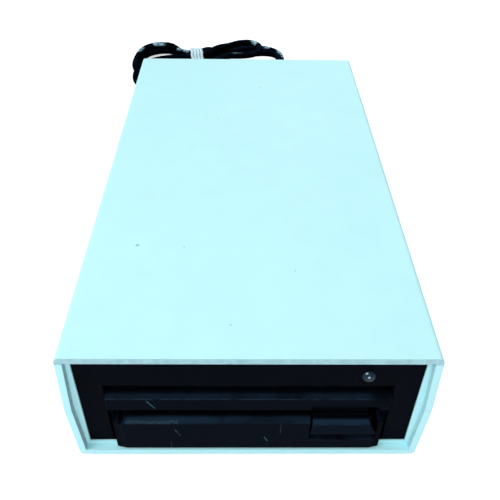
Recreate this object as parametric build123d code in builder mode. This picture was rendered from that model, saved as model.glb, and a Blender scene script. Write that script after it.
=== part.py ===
from build123d import *
from math import atan, cos, degrees, hypot, pi, radians, sin, sqrt, tan
import os

os.makedirs("parts", exist_ok=True)

# An external 3.5-inch floppy disk drive in a two-part case, with its data cord folded behind it.
# Millimetres. The origin is on the table under the middle of the case, the front faces -Y.
# Depths are measured backwards from the case's front rim, heights up from the case's underside.

# Case
case_width = 127.0
seam_bulge = 1.3
case_depth = 235.0
case_height = 55.7
case_wall = 2.6
case_edge_radius = 1.8
seam_height = case_height / 2
foot_height = 2.0
foot_radius = 6.0
foot_recess = 0.6
foot_places = (47.0, 18.0)
lip_depth = 2.7
lip_thickness = 1.9
lip_reach = 2.2
lip_inset = 3.85
panel_thickness = 2.4
field_rise = 1.6
field_gap = 0.1
seat_gap = 0.15
tongue_width = 1.0
tongue_height = 1.2

# Case screws and their bosses
case_screw_x = 56.4
case_screw_end = 24.0
case_boss_radius = 3.6
case_boss_split = 24.0
screw_radius = 1.45
screw_head_radius = 2.8
screw_head_height = 1.8
head_gap = 0.3

# Drive
drive_width = 101.6
drive_length = 150.0
drive_bottom = 5.2
drive_top = 33.0
sheet = 1.8
deck_low = 12.0
deck_thickness = 1.5
flange_width = 6.0
flange_thickness = 1.5
drive_screw_x = 47.5
drive_screw_depths = (40.0, 125.0)

# Fascia
fascia_gap = 0.2
fascia_front = 4.9
fascia_back = 7.2
fascia_top = 33.2
face_front = 2.4
face_low = 24.6
face_high = 30.8
face_wall = 1.8
slot_low = 20.2
slot_half_width = 45.2
slot_flare = 1.9
bar_front = 0.4
bar_low = 3.5
bar_bevel_low = 19.2
bar_back_step = lip_depth - 0.2
bar_half_width = 49.2
bar_end_bevel = (3.8, 0.8)
bar_wall = 1.8
window_top_gap = 2.9
field_window_gap = 4.75

# Eject button and its opening
button_left = 22.7
button_right = 46.9
button_low = 12.6
button_front = 0.0
button_crest = 2.8
button_back = 4.4
button_shoulder = 18.3
button_top_left = 23.5
button_top_right = 43.6
button_gap = 0.3
button_recess_low = 8.6
finger_relief_top = 26.2
button_stem = (30.0, 38.0)
eject_travel = 6.0

# Dust flap
flap_left = -45.0
flap_right = 43.8
flap_thickness = 1.0
flap_front = 5.9
flap_low = 17.6
flap_pivot_height = 26.8
flap_barrel_radius = 1.1
flap_pin_radius = 0.75
running_gap = 0.05

# Disk holder and slide plate
holder_drop = 3.2
holder_half_width = 46.4
holder_sheet = 1.0
holder_front = 18.0
holder_back = 108.0
holder_lip = 7.4
holder_window = (22.0, 76.0)
holder_stop_x = 32.0
pin_radius = 1.0
pin_slot_gap = 0.2
pin_height = 22.0
pin_depths = (34.0, 92.0)
slide_sheet = 1.0
slide_gap = 0.8
slide_front = 20.0
slide_back = 116.0
slide_cross = 14.0
slide_lip = 5.2
slide_side_top = 25.0
slide_lift = 0.3
spring_x = 45.5
spring_height = 17.0
spring_radius = 2.0
spring_wire = 0.6
spring_coils = 6
chassis_spring_tab = 130.0

# Spindle
spindle_depth = 60.0
spindle_shaft_radius = 2.0
rotor_radius = 18.0
rotor_wall = 1.5
rotor_low = 14.5
rotor_high = 16.3
hub_radius = 11.0
hub_high = 17.0
drive_pin_place = 8.0
motor_base_radius = 24.0
motor_base_thickness = 0.6

# Head mechanism
rod_radius = 2.0
rod_height = 16.4
rod_places = (-15.0, 12.0)
rod_front_support = 108.5
rod_back_support = 143.5
rod_support_length = 2.0
carriage_front = 126.0
carriage_back = 142.0
carriage_left = -20.0
carriage_right = 17.4
carriage_low = 13.9
carriage_high = 19.9
carriage_travel = 15.0
head_depth = 99.5
head_low = 16.8
head_high = 18.4
head_width = 5.0
arm_pivot_depth = 137.0
arm_pivot_height = 25.4
arm_low = 27.9
arm_thickness = 1.5
arm_half_width = 8.8
post_half_width = 7.0
post_round = 2.2
upper_head_low = 24.7
upper_head_high = 26.0
screw_x = 21.0
lead_screw_height = 18.5
lead_screw_radius = 1.5
bearing_depth = 115.0
bearing_length = 3.0
motor_radius = 8.0
motor_length = 13.5
motor_bracket_back = 147.5

# Boards
board_thickness = 1.6
logic_board_low = 8.4
logic_board_half_width = 43.5
logic_board_front = 60.0
logic_board_back = 157.3
interface_board_low = 7.0
interface_board_half_width = 48.0
interface_board_front = 166.0
board_rear_gap = 11.0
interface_board_back = case_depth - board_rear_gap
connector_size = 8.8
data_span = (-44.0, 4.0)
power_span = (31.0, 43.0)
board_header_gap = 8.0
chip_row_start = 9.2
chip_row_pitch = 14.0
chip_row_room = 17.0
capacitor_start = 8.2
capacitor_pitch = 8.0
capacitor_room = 13.0
ribbon_thickness = 0.9

# Lamp
lamp_x = 40.8
lamp_drop = 1.25
lamp_height = (fascia_top + case_height) / 2 - lamp_drop
lamp_radius = 2.5
lamp_flange_radius = 2.9
lamp_flange = 1.0
lamp_dome = 1.7

# Cord
cord_diameter = 5.0
cord_exit_x = -34.0
cord_exit_height = 18.0
relief_length = 26.0
relief_radius = 4.4
tie_wire = 1.4
plug_radius = 7.5
plug_length = 30.0
plug_relief = 14.0
plug_shell_radius = 6.6
plug_shell_length = 9.5
plug_pin_ring = 3.6
grip_grooves = 6


def back(depth):
    """The y of a point this far behind the front rim."""
    return depth - case_depth / 2


def up(height):
    """The z of a point this high above the case's underside."""
    return height + foot_height


def facing(depth):
    """A sketch plane that looks forward, in x and z."""
    return Plane.XZ.offset(-back(depth))


def level(height):
    """A sketch plane that looks up, in x and y."""
    return Plane.XY.offset(up(height))


def across(x):
    """A sketch plane that looks to the right, in y and z."""
    return Plane.YZ.offset(x)


def side_points(*points):
    """Depth and height pairs as points of a plane across the drive."""
    return [(back(depth), up(height)) for depth, height in points]


def front_points(*points):
    """Sideways and height pairs as points of a plane that looks forward."""
    return [(x, up(height)) for x, height in points]


def spanning(low_u, high_u, low_v, high_v, mode=Mode.ADD):
    """A rectangle between its limits."""
    with Locations(((low_u + high_u) / 2, (low_v + high_v) / 2)):
        Rectangle(high_u - low_u, high_v - low_v, mode=mode)


def slab(x_span, depth_span, height_span, mode=Mode.ADD):
    """A straight-sided body between its limits, added to the part in hand."""
    with BuildSketch(level(height_span[0])) as footprint:
        spanning(*x_span, back(depth_span[0]), back(depth_span[1]))
    extrude(footprint.sketch, amount=height_span[1] - height_span[0], mode=mode)


def post(places, radius, height_span, mode=Mode.ADD):
    """Round posts or holes at several x and depth places."""
    with BuildSketch(level(height_span[0])) as footprint:
        with Locations(*[(x, back(depth)) for x, depth in places]):
            Circle(radius)
    extrude(footprint.sketch, amount=height_span[1] - height_span[0], mode=mode)


def save(part, name):
    part.part.label = name
    export_step(part.part, f"parts/{name}.step")


def half_width(height):
    """Half the case's outer width, greatest at the seam."""
    return case_width / 2 + seam_bulge * (1 - abs(height - seam_height) / seam_height)


def half_section(outer, seam, inset):
    """The four corners of one half shell's section, from its outer level to the seam."""
    return front_points(
        (-half_width(outer) + inset, outer),
        (half_width(outer) - inset, outer),
        (half_width(seam) - inset, seam),
        (-half_width(seam) + inset, seam),
    )


four_corners = [(x, y) for x in (-1, 1) for y in (-1, 1)]
case_screw_places = [
    (sx * case_screw_x, case_depth / 2 + sy * (case_depth / 2 - case_screw_end)) for sx, sy in four_corners
]
foot_spots = [
    (sx * foot_places[0], case_depth / 2 + sy * (case_depth / 2 - foot_places[1])) for sx, sy in four_corners
]
drive_screw_places = [(sx * drive_screw_x, depth) for sx in (-1, 1) for depth in drive_screw_depths]
interface_screw_places = [
    (sx * (interface_board_half_width - 4), depth)
    for sx in (-1, 1)
    for depth in (interface_board_front + 5, interface_board_back - 5)
]
logic_screw_places = [
    (sx * (logic_board_half_width - 3.5), depth)
    for sx in (-1, 1)
    for depth in (logic_board_front + 6, logic_board_front + 68)
]

opening_half = case_width / 2 - lip_inset
opening_low = case_wall + lip_reach
opening_high = case_height - opening_low + 0.3
panel_front = lip_depth + lip_thickness + seat_gap
rib_front = panel_front + panel_thickness + seat_gap
ring_depths = (
    lip_depth,
    rib_front,
    case_depth - rib_front - lip_thickness,
    case_depth - lip_depth - lip_thickness,
)
tongue_span = (rib_front + lip_thickness + 1, case_depth - rib_front - lip_thickness - 1)
deck_high = deck_low + deck_thickness
counterbore = screw_head_radius + head_gap

# Lower shell: an open tray with lips at both ends, screw bosses and standoffs
with BuildPart() as lower_shell:
    with BuildSketch(facing(0)) as outline:
        Polygon(*half_section(0, seam_height, 0))
        fillet(outline.vertices().group_by(Axis.Y)[0], case_edge_radius)
    extrude(amount=-case_depth)
    with BuildSketch(facing(0)):
        Polygon(*half_section(case_wall, seam_height, case_wall))
    extrude(amount=-case_depth, mode=Mode.SUBTRACT)
    for ring in ring_depths:
        with BuildSketch(facing(ring)):
            Polygon(*half_section(case_wall / 2, seam_height, case_wall / 2))
            spanning(-opening_half, opening_half, up(opening_low), up(seam_height + 1), Mode.SUBTRACT)
        extrude(amount=-lip_thickness)
    for side in (-1, 1):
        tongue_in = half_width(seam_height) - case_wall
        slab(
            sorted((side * tongue_in, side * (tongue_in + tongue_width))),
            tongue_span,
            (seam_height - 1, seam_height + tongue_height),
        )
    post(case_screw_places, case_boss_radius, (case_wall, case_boss_split))
    post(drive_screw_places, 4.0, (case_wall, drive_bottom))
    post(interface_screw_places, 3.0, (case_wall, interface_board_low))
    post(case_screw_places, screw_radius + head_gap, (0, case_boss_split), Mode.SUBTRACT)
    post(case_screw_places, counterbore, (0, case_boss_split - 6), Mode.SUBTRACT)
    # the upper shell's bosses stand on these ones, and pass the wall where the case is narrow
    upper_boss_room = case_boss_radius + seat_gap
    post(case_screw_places, upper_boss_room, (case_boss_split, seam_height + 2 * tongue_height), Mode.SUBTRACT)
    post(drive_screw_places, screw_radius + head_gap, (0, drive_bottom), Mode.SUBTRACT)
    post(drive_screw_places, counterbore, (0, screw_head_height + 0.4), Mode.SUBTRACT)
    post(interface_screw_places, 1.25, (case_wall, interface_board_low), Mode.SUBTRACT)
    post(foot_spots, foot_radius + 0.1, (0, foot_recess), Mode.SUBTRACT)
save(lower_shell, "lower_shell")

# Upper shell: the same section turned over, rebated for the lower shell's tongue
with BuildPart() as upper_shell:
    with BuildSketch(facing(0)) as outline:
        Polygon(*half_section(case_height, seam_height, 0))
        fillet(outline.vertices().group_by(Axis.Y)[-1], case_edge_radius)
    extrude(amount=-case_depth)
    with BuildSketch(facing(0)):
        Polygon(*half_section(case_height - case_wall, seam_height, case_wall))
    extrude(amount=-case_depth, mode=Mode.SUBTRACT)
    for ring in ring_depths:
        with BuildSketch(facing(ring)):
            Polygon(*half_section(case_height - case_wall / 2, seam_height, case_wall / 2))
            spanning(-opening_half, opening_half, up(seam_height - 1), up(opening_high), Mode.SUBTRACT)
        extrude(amount=-lip_thickness)
    for side in (-1, 1):
        rebate_in = half_width(seam_height) - case_wall - 1
        slab(
            sorted((side * rebate_in, side * (rebate_in + 1 + tongue_width + seat_gap))),
            (tongue_span[0] - seat_gap, tongue_span[1] + seat_gap),
            (seam_height, seam_height + tongue_height + 2 * seat_gap),
            Mode.SUBTRACT,
        )
    post(case_screw_places, case_boss_radius, (case_boss_split + seat_gap, case_height - case_wall))
    post(case_screw_places, screw_radius, (case_boss_split, case_boss_split + 14), Mode.SUBTRACT)
save(upper_shell, "upper_shell")

# Front panel: a plate held between the lip and the rib, with a window for the drive. Its field is
# raised to fill the lip's opening almost flush.
panel_inset = case_wall + seat_gap
panel_outline = front_points(
    (-half_width(case_wall) + panel_inset, panel_inset),
    (half_width(case_wall) - panel_inset, panel_inset),
    (half_width(seam_height) - panel_inset, seam_height),
    (half_width(case_wall) - panel_inset, case_height - panel_inset),
    (-half_width(case_wall) + panel_inset, case_height - panel_inset),
    (-half_width(seam_height) + panel_inset, seam_height),
)
window_half = drive_width / 2
with BuildPart() as front_panel:
    with BuildSketch(facing(panel_front)):
        Polygon(*panel_outline)
        spanning(
            -window_half,
            window_half,
            up(drive_bottom - fascia_gap),
            up(fascia_top + window_top_gap),
            Mode.SUBTRACT,
        )
        with Locations((lamp_x, up(lamp_height))):
            Circle(lamp_radius + 0.1, mode=Mode.SUBTRACT)
    extrude(amount=-panel_thickness)
    with BuildSketch(facing(panel_front)):
        field_half = opening_half - field_gap
        spanning(-field_half, field_half, up(opening_low + field_gap), up(opening_high - field_gap))
        spanning(
            -window_half,
            window_half,
            up(drive_bottom - fascia_gap),
            up(fascia_top + field_window_gap),
            Mode.SUBTRACT,
        )
        with Locations((lamp_x, up(lamp_height))):
            Circle(lamp_radius + 0.1, mode=Mode.SUBTRACT)
    extrude(amount=field_rise)
save(front_panel, "front_panel")

# Rear panel: a plain plate with the cord's hole
relief_neck = relief_radius - 1.0
with BuildPart() as rear_panel:
    with BuildSketch(facing(case_depth - panel_front - panel_thickness)):
        Polygon(*panel_outline)
        with Locations((cord_exit_x, up(cord_exit_height))):
            Circle(relief_neck + 0.1, mode=Mode.SUBTRACT)
    extrude(amount=-panel_thickness)
save(rear_panel, "rear_panel")

# Rubber feet: domed pads glued in shallow recesses
with BuildPart() as rubber_feet:
    for x, depth in foot_spots:
        with BuildSketch(Plane.XY) as pad:
            with Locations((x, back(depth))):
                Circle(foot_radius - 0.4)
        extrude(amount=up(foot_recess), taper=-8)
        chamfer(rubber_feet.edges().filter_by(GeomType.CIRCLE).group_by(Axis.Z)[0][-1:], 0.4)
save(rubber_feet, "rubber_feet")


def screws(places, head_low, head_radius, head_height, shank_high):
    """Pan-head screws that point up, one solid at each place."""
    post(places, head_radius, (head_low, head_low + head_height))
    post(places, screw_radius, (head_low + head_height, shank_high))


case_head_low = case_boss_split - 6 - screw_head_height
with BuildPart() as case_screws:
    screws(case_screw_places, case_head_low, screw_head_radius, screw_head_height, case_boss_split + 12)
save(case_screws, "case_screws")

with BuildPart() as drive_screws:
    screws(drive_screw_places, 0.4, screw_head_radius, screw_head_height, drive_bottom + 3.6)
save(drive_screws, "drive_screws")

# Lamp: a domed lens whose flange seats behind the panel, and the clip that holds it
panel_rear = panel_front + panel_thickness
lamp_place = Vector(lamp_x, back(panel_rear + lamp_flange), up(lamp_height))
dome_start = lamp_flange + panel_thickness + field_rise
with BuildPart() as lamp_lens:
    with BuildSketch(Plane(origin=lamp_place, x_dir=(1, 0, 0), z_dir=(0, 0, -1))):
        with BuildLine():
            Polyline(
                (lamp_radius, dome_start),
                (lamp_radius, lamp_flange),
                (lamp_flange_radius, lamp_flange),
                (lamp_flange_radius, 0),
                (0, 0),
                (0, dome_start + lamp_dome),
            )
            ThreePointArc(
                (0, dome_start + lamp_dome),
                (lamp_radius * 0.72, dome_start + lamp_dome * 0.7),
                (lamp_radius, dome_start),
            )
        make_face()
    revolve(axis=Axis(lamp_place, (0, -1, 0)))
save(lamp_lens, "lamp_lens")

with BuildPart() as lamp_clip:
    with BuildSketch(facing(panel_rear)):
        with Locations((lamp_x, up(lamp_height))):
            Circle(lamp_flange_radius + 1.4)
            Circle(lamp_flange_radius + 0.1, mode=Mode.SUBTRACT)
    extrude(amount=-4.5)
    with BuildSketch(facing(panel_rear + lamp_flange + 0.1)):
        with Locations((lamp_x, up(lamp_height))):
            Circle(lamp_flange_radius + 0.5)
            with Locations((-1.27, 0), (1.27, 0)):
                Circle(0.5, mode=Mode.SUBTRACT)
    extrude(amount=-2.0)
save(lamp_clip, "lamp_clip")

# Drive fascia: a hollow moulding with the disk slot, the chin bar and the button's opening
fascia_half = drive_width / 2 - fascia_gap
hollow_half = fascia_half - 3.4
flap_pivot_depth = flap_front + flap_thickness / 2
flap_space = flap_pivot_depth - flap_barrel_radius - 0.3
with BuildPart() as drive_fascia:
    with BuildSketch(facing(fascia_front)):
        spanning(-fascia_half, fascia_half, up(drive_bottom), up(fascia_top))
    extrude(amount=-(fascia_back - fascia_front))
    with BuildSketch(across(-fascia_half)):
        Polygon(*side_points(
            (fascia_back, fascia_top),
            (fascia_front, fascia_top),
            (face_front, face_high),
            (face_front, face_low),
            (fascia_back, face_low),
        ))
    extrude(amount=2 * fascia_half)
    with BuildSketch(across(-bar_half_width)):
        Polygon(*side_points(
            (bar_front, bar_low),
            (bar_back_step, bar_low),
            (bar_back_step, drive_bottom),
            (fascia_back, drive_bottom),
            (fascia_back, slot_low),
            (bar_back_step, slot_low),
            (bar_front, bar_bevel_low),
        ))
    extrude(amount=2 * bar_half_width)
    with BuildSketch(level(bar_low - 1)):
        for side in (-1, 1):
            Polygon(
                (side * (bar_half_width - bar_end_bevel[0]), back(bar_front - 0.01)),
                (side * (bar_half_width + 1), back(bar_front - 0.01)),
                (side * (bar_half_width + 1), back(bar_front + bar_end_bevel[1])),
                (side * bar_half_width, back(bar_front + bar_end_bevel[1])),
            )
    extrude(amount=slot_low - bar_low + 2, mode=Mode.SUBTRACT)
    with BuildSketch(across(-hollow_half)):
        Polygon(*side_points(
            (fascia_back, fascia_top - face_wall),
            (fascia_front + face_wall / 2, fascia_top - face_wall),
            (face_front + face_wall, face_high - face_wall / 2),
            (face_front + face_wall, face_low + face_wall),
            (flap_space, face_low + face_wall),
            (flap_space, slot_low - bar_wall),
            (bar_front + bar_wall + 1.0, slot_low - bar_wall),
            (bar_front + bar_wall + 1.0, drive_bottom + bar_wall),
            (fascia_back, drive_bottom + bar_wall),
        ))
    extrude(amount=2 * hollow_half, mode=Mode.SUBTRACT)
    slab((-slot_half_width, slot_half_width), (0, fascia_back), (slot_low, face_low), Mode.SUBTRACT)
    with BuildSketch(facing(0)):
        for side in (-1, 1):
            Polygon(*front_points(
                (side * (slot_half_width - slot_flare), slot_low),
                (side * (slot_half_width + slot_flare), slot_low - 2.3),
                (side * (slot_half_width + slot_flare), face_low),
                (side * (slot_half_width - slot_flare), face_low),
            ))
    extrude(amount=-flap_space, mode=Mode.SUBTRACT)
    slab(
        (button_left - button_gap, button_right + button_gap),
        (0, fascia_back),
        (button_recess_low, finger_relief_top),
        Mode.SUBTRACT,
    )
    with BuildSketch(across(-hollow_half - 1.6)):
        with Locations((back(flap_pivot_depth), up(flap_pivot_height))):
            Circle(flap_pin_radius + running_gap)
    extrude(amount=2 * (hollow_half + 1.6), mode=Mode.SUBTRACT)
    for side in (-1, 1):
        lug = sorted((side * (hollow_half + 0.2), side * (drive_width / 2 - sheet - 0.3)))
        slab(lug, (fascia_back - 0.5, fascia_back + 7), (drive_bottom + 2.3, deck_low - 0.5))
save(drive_fascia, "drive_fascia")

# Eject button: a wedge with a bright upper slope, wider at its foot
with BuildPart() as eject_button:
    with BuildSketch(across(button_left)):
        Polygon(*side_points(
            (button_front, button_low),
            (button_front, button_shoulder),
            (button_crest, slot_low - 0.1),
            (button_back, slot_low - 0.1),
            (button_back, button_low),
        ))
    extrude(amount=button_right - button_left)
    with BuildSketch(facing(button_front - 1)):
        Polygon(*front_points(
            (button_left, button_low),
            (button_right, button_low),
            (button_top_right, slot_low),
            (button_top_left, slot_low),
        ))
    extrude(amount=-(button_back + 2), mode=Mode.INTERSECT)
    fillet(eject_button.edges().filter_by(Axis.X).group_by(Axis.Y)[0], 0.5)
    stem_low = deck_high + slide_lift + slide_sheet
    slab(button_stem, (button_back - 0.5, slide_front + 8), (stem_low, stem_low + 1.6))
save(eject_button, "eject_button")

# Dust flap: hangs behind the slot on two pins and swings inwards
with BuildPart() as dust_flap:
    slab((flap_left, flap_right), (flap_front, flap_front + flap_thickness), (flap_low, flap_pivot_height))
    with BuildSketch(across(flap_left)):
        with Locations((back(flap_pivot_depth), up(flap_pivot_height))):
            Circle(flap_barrel_radius)
    extrude(amount=flap_right - flap_left)
    with BuildSketch(across(-hollow_half - 1.4)):
        with Locations((back(flap_pivot_depth), up(flap_pivot_height))):
            Circle(flap_pin_radius)
    extrude(amount=2 * (hollow_half + 1.4))
save(dust_flap, "dust_flap")

# Chassis: two rails with foot flanges, joined by the deck
rail_out = drive_width / 2
rail_in = rail_out - sheet
chassis_front = fascia_back + 0.3
chassis_back = chassis_front + drive_length
with BuildPart() as drive_chassis:
    with BuildSketch(facing(chassis_front)):
        spanning(-rail_out, rail_out, up(drive_bottom), up(drive_top))
        spanning(-rail_in, rail_in, up(deck_high), up(drive_top + 1), Mode.SUBTRACT)
        spanning(-rail_in, rail_in, up(drive_bottom + flange_thickness), up(deck_low), Mode.SUBTRACT)
        spanning(
            -(rail_out - flange_width),
            rail_out - flange_width,
            up(drive_bottom - 1),
            up(drive_bottom + flange_thickness + 0.1),
            Mode.SUBTRACT,
        )
    extrude(amount=-drive_length)
    slab((-rail_in, rail_in), (motor_bracket_back, chassis_back + 1), (deck_low, deck_high), Mode.SUBTRACT)
    post([(0, spindle_depth)], spindle_shaft_radius + 1.5, (deck_low, deck_high), Mode.SUBTRACT)
    post(drive_screw_places, screw_radius + 0.05, (drive_bottom, deck_low - 3), Mode.SUBTRACT)
    post(logic_screw_places, 2.6, (logic_board_low + board_thickness, deck_low))
    post(logic_screw_places, 1.0, (logic_board_low, deck_high), Mode.SUBTRACT)
    for side in (-1, 1):
        with BuildSketch(across(side * rail_out - 2)):
            for depth in pin_depths:
                with Locations((back(depth), up(pin_height - holder_drop / 2))):
                    SlotCenterToCenter(holder_drop, 2 * (pin_radius + pin_slot_gap), rotation=90)
        extrude(amount=4, mode=Mode.SUBTRACT)
        with BuildSketch(across(side * rail_out - 2)):
            for depth in (chassis_front + 32, chassis_back - 32):
                with Locations((back(depth), up(drive_top - 3))):
                    Circle(1.25)
        extrude(amount=4, mode=Mode.SUBTRACT)
    for side in (-1, 1):
        tab = sorted((side * (spring_x - 2.5), side * (rail_in + 0.5)))
        slab(
            tab,
            (chassis_spring_tab, chassis_spring_tab + sheet),
            (deck_high - 0.5, spring_height + 3),
        )
    for support in (rod_front_support, rod_back_support):
        for x in rod_places:
            slab((x - 3, x + 3), (support, support + rod_support_length), (deck_high - 0.5, rod_height + 3))
    with BuildSketch(facing(rod_front_support - 1)):
        with Locations(*[(x, up(rod_height)) for x in rod_places]):
            Circle(rod_radius + running_gap)
    extrude(amount=-(rod_back_support + rod_support_length - rod_front_support + 2), mode=Mode.SUBTRACT)
    slab(
        (screw_x - motor_radius - 1, screw_x + motor_radius + 1),
        (motor_bracket_back - deck_thickness, motor_bracket_back),
        (deck_high - 0.5, lead_screw_height + motor_radius + 1),
    )
    with BuildSketch(facing(motor_bracket_back - 3)):
        with Locations((screw_x, up(lead_screw_height))):
            Circle(lead_screw_radius + 1.5)
    extrude(amount=-4, mode=Mode.SUBTRACT)
save(drive_chassis, "drive_chassis")

# Top cover: a folded lid on the rails, open over the heads
cover_out = rail_out + 1.0
cover_screw_depths = (chassis_front + 32, chassis_back - 32)
with BuildPart() as top_cover:
    with BuildSketch(facing(chassis_front + 5)):
        spanning(-cover_out, cover_out, up(drive_top - 6), up(drive_top + 1))
        spanning(-rail_out - 0.2, rail_out + 0.2, up(drive_top - 7), up(drive_top), Mode.SUBTRACT)
    extrude(amount=-(drive_length - 8))
    slab((-14, 14), (head_depth - carriage_travel - 8, carriage_back + 4), (drive_top - 1, drive_top + 2), Mode.SUBTRACT)
    post([(0, spindle_depth)], hub_radius + 4, (drive_top - 1, drive_top + 2), Mode.SUBTRACT)
    with BuildSketch(across(-cover_out - 1)):
        with Locations(*[(back(depth), up(drive_top - 3)) for depth in cover_screw_depths]):
            Circle(1.4)
    extrude(amount=2 * cover_out + 2, mode=Mode.SUBTRACT)
save(top_cover, "top_cover")

with BuildPart() as cover_screws:
    for side in (-1, 1):
        head = across(side * cover_out)
        with BuildSketch(head):
            with Locations(*[(back(depth), up(drive_top - 3)) for depth in cover_screw_depths]):
                Circle(2.4)
        extrude(amount=side * 1.4)
        with BuildSketch(head):
            with Locations(*[(back(depth), up(drive_top - 3)) for depth in cover_screw_depths]):
                Circle(1.2)
        extrude(amount=-side * 2.6)
save(cover_screws, "cover_screws")

# Disk holder: a sheet channel that carries the disk, open below and at the heads
holder_low = slot_low - holder_sheet
holder_high = face_low + 0.2 + holder_sheet
with BuildPart() as disk_holder:
    with BuildSketch(facing(holder_front)):
        spanning(-holder_half_width, holder_half_width, up(holder_low), up(holder_high))
        spanning(
            -holder_half_width + holder_sheet,
            holder_half_width - holder_sheet,
            up(slot_low),
            up(holder_high - holder_sheet),
            Mode.SUBTRACT,
        )
        spanning(
            -holder_half_width + holder_lip,
            holder_half_width - holder_lip,
            up(holder_low - 1),
            up(slot_low + 0.1),
            Mode.SUBTRACT,
        )
    extrude(amount=-(holder_back - holder_front))
    slab(
        (-holder_window[0] / 2, holder_window[0] / 2),
        (holder_window[1], holder_back + 1),
        (slot_low, holder_high + 1),
        Mode.SUBTRACT,
    )
    for side in (-1, 1):
        stop = sorted((side * holder_stop_x, side * holder_half_width))
        slab(stop, (holder_back - holder_sheet, holder_back), (slot_low - 0.5, holder_high))
save(disk_holder, "disk_holder")

with BuildPart() as holder_pins:
    for side in (-1, 1):
        with BuildSketch(across(side * holder_half_width)):
            with Locations(*[(back(depth), up(pin_height)) for depth in pin_depths]):
                Circle(pin_radius)
        extrude(amount=side * (rail_out - 0.4 - holder_half_width))
save(holder_pins, "holder_pins")

# Slide plate: the button pulls and pushes it, and its slanted slots lift the holder
slide_low = deck_high + slide_lift
slide_in = holder_half_width + slide_gap
slide_out = slide_in + slide_sheet
slot_slope = degrees(atan(holder_drop / eject_travel))
with BuildPart() as slide_plate:
    with BuildSketch(facing(slide_front)):
        for side in (-1, 1):
            side_sheet = sorted((side * slide_in, side * slide_out))
            foot_sheet = sorted((side * (slide_out - slide_lip), side * slide_out))
            spanning(*side_sheet, up(slide_low), up(slide_side_top))
            spanning(*foot_sheet, up(slide_low), up(slide_low + slide_sheet))
    extrude(amount=-(slide_back - slide_front))
    for side in (-1, 1):
        end_sheet = sorted((side * (spring_x - 2.5), side * slide_out))
        slab(end_sheet, (slide_back - slide_sheet, slide_back), (slide_low, spring_height + 2.6))
    slab(
        (-slide_out, slide_out),
        (slide_front, slide_front + slide_cross),
        (slide_low, slide_low + slide_sheet),
    )
    with BuildSketch(across(-slide_out - 1)):
        for depth in pin_depths:
            with Locations((back(depth + eject_travel / 2), up(pin_height - holder_drop / 2))):
                SlotCenterToCenter(
                    hypot(eject_travel, holder_drop),
                    2 * (pin_radius + pin_slot_gap),
                    rotation=-slot_slope,
                )
    extrude(amount=2 * slide_out + 2, mode=Mode.SUBTRACT)
save(slide_plate, "slide_plate")

# Eject springs: pressed between the slide plate's ends and two tabs, they push it forwards
spring_start = slide_back + slide_gap / 4
spring_end = chassis_spring_tab - slide_gap / 4
spring_rise = (spring_end - spring_start - spring_wire) / spring_coils
with BuildPart() as eject_springs:
    for side in (-1, 1):
        spring_origin = (side * spring_x, back(spring_start + spring_wire / 2), up(spring_height))
        with BuildLine() as coil:
            Helix(
                pitch=spring_rise,
                height=spring_rise * spring_coils,
                radius=spring_radius,
                center=spring_origin,
                direction=(0, 1, 0),
            )
        with BuildSketch(Plane(origin=coil.line @ 0, z_dir=coil.line % 0)):
            Circle(spring_wire / 2)
        sweep(path=coil.line, is_frenet=True)
save(eject_springs, "eject_springs")

# Spindle motor: the base with its coils, the rotor cup and the hub with shaft and drive pin
base_high = deck_high + motor_base_thickness
coil_ring = rotor_radius - rotor_wall - 4.2
with BuildPart() as motor_base:
    post([(0, spindle_depth)], motor_base_radius, (deck_high, base_high))
    post([(0, spindle_depth)], 4.5, (base_high, rotor_high - 1.1))
    with BuildSketch(level(base_high)) as coils:
        with Locations((0, back(spindle_depth))):
            with PolarLocations(coil_ring, 9):
                RectangleRounded(6.0, 5.0, 1.2)
    extrude(coils.sketch, amount=0.9)
    post([(0, spindle_depth)], spindle_shaft_radius + running_gap, (deck_high, rotor_high), Mode.SUBTRACT)
save(motor_base, "motor_base")

with BuildPart() as spindle_rotor:
    post([(0, spindle_depth)], rotor_radius, (rotor_low, rotor_high))
    post([(0, spindle_depth)], rotor_radius - rotor_wall, (rotor_low, rotor_high - 0.7), Mode.SUBTRACT)
    post([(0, spindle_depth)], spindle_shaft_radius, (rotor_low, rotor_high), Mode.SUBTRACT)
save(spindle_rotor, "spindle_rotor")

with BuildPart() as spindle_hub:
    post([(0, spindle_depth)], hub_radius, (rotor_high, hub_high))
    post([(0, spindle_depth)], spindle_shaft_radius, (deck_low + 0.3, hub_high + 2))
    chamfer(spindle_hub.edges().filter_by(GeomType.CIRCLE).group_by(Axis.Z)[-1], 0.6)
    post([(drive_pin_place, spindle_depth)], 1.2, (hub_high, hub_high + 1.5))
save(spindle_hub, "spindle_hub")

# Head carriage: a block on two rods with a forward tongue for the head and a post for the arm
rod_span = (rod_front_support - 0.5, rod_back_support + rod_support_length + 0.5)
with BuildPart() as guide_rods:
    with BuildSketch(facing(rod_span[0])):
        with Locations(*[(x, up(rod_height)) for x in rod_places]):
            Circle(rod_radius)
    extrude(amount=-(rod_span[1] - rod_span[0]))
save(guide_rods, "guide_rods")

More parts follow.
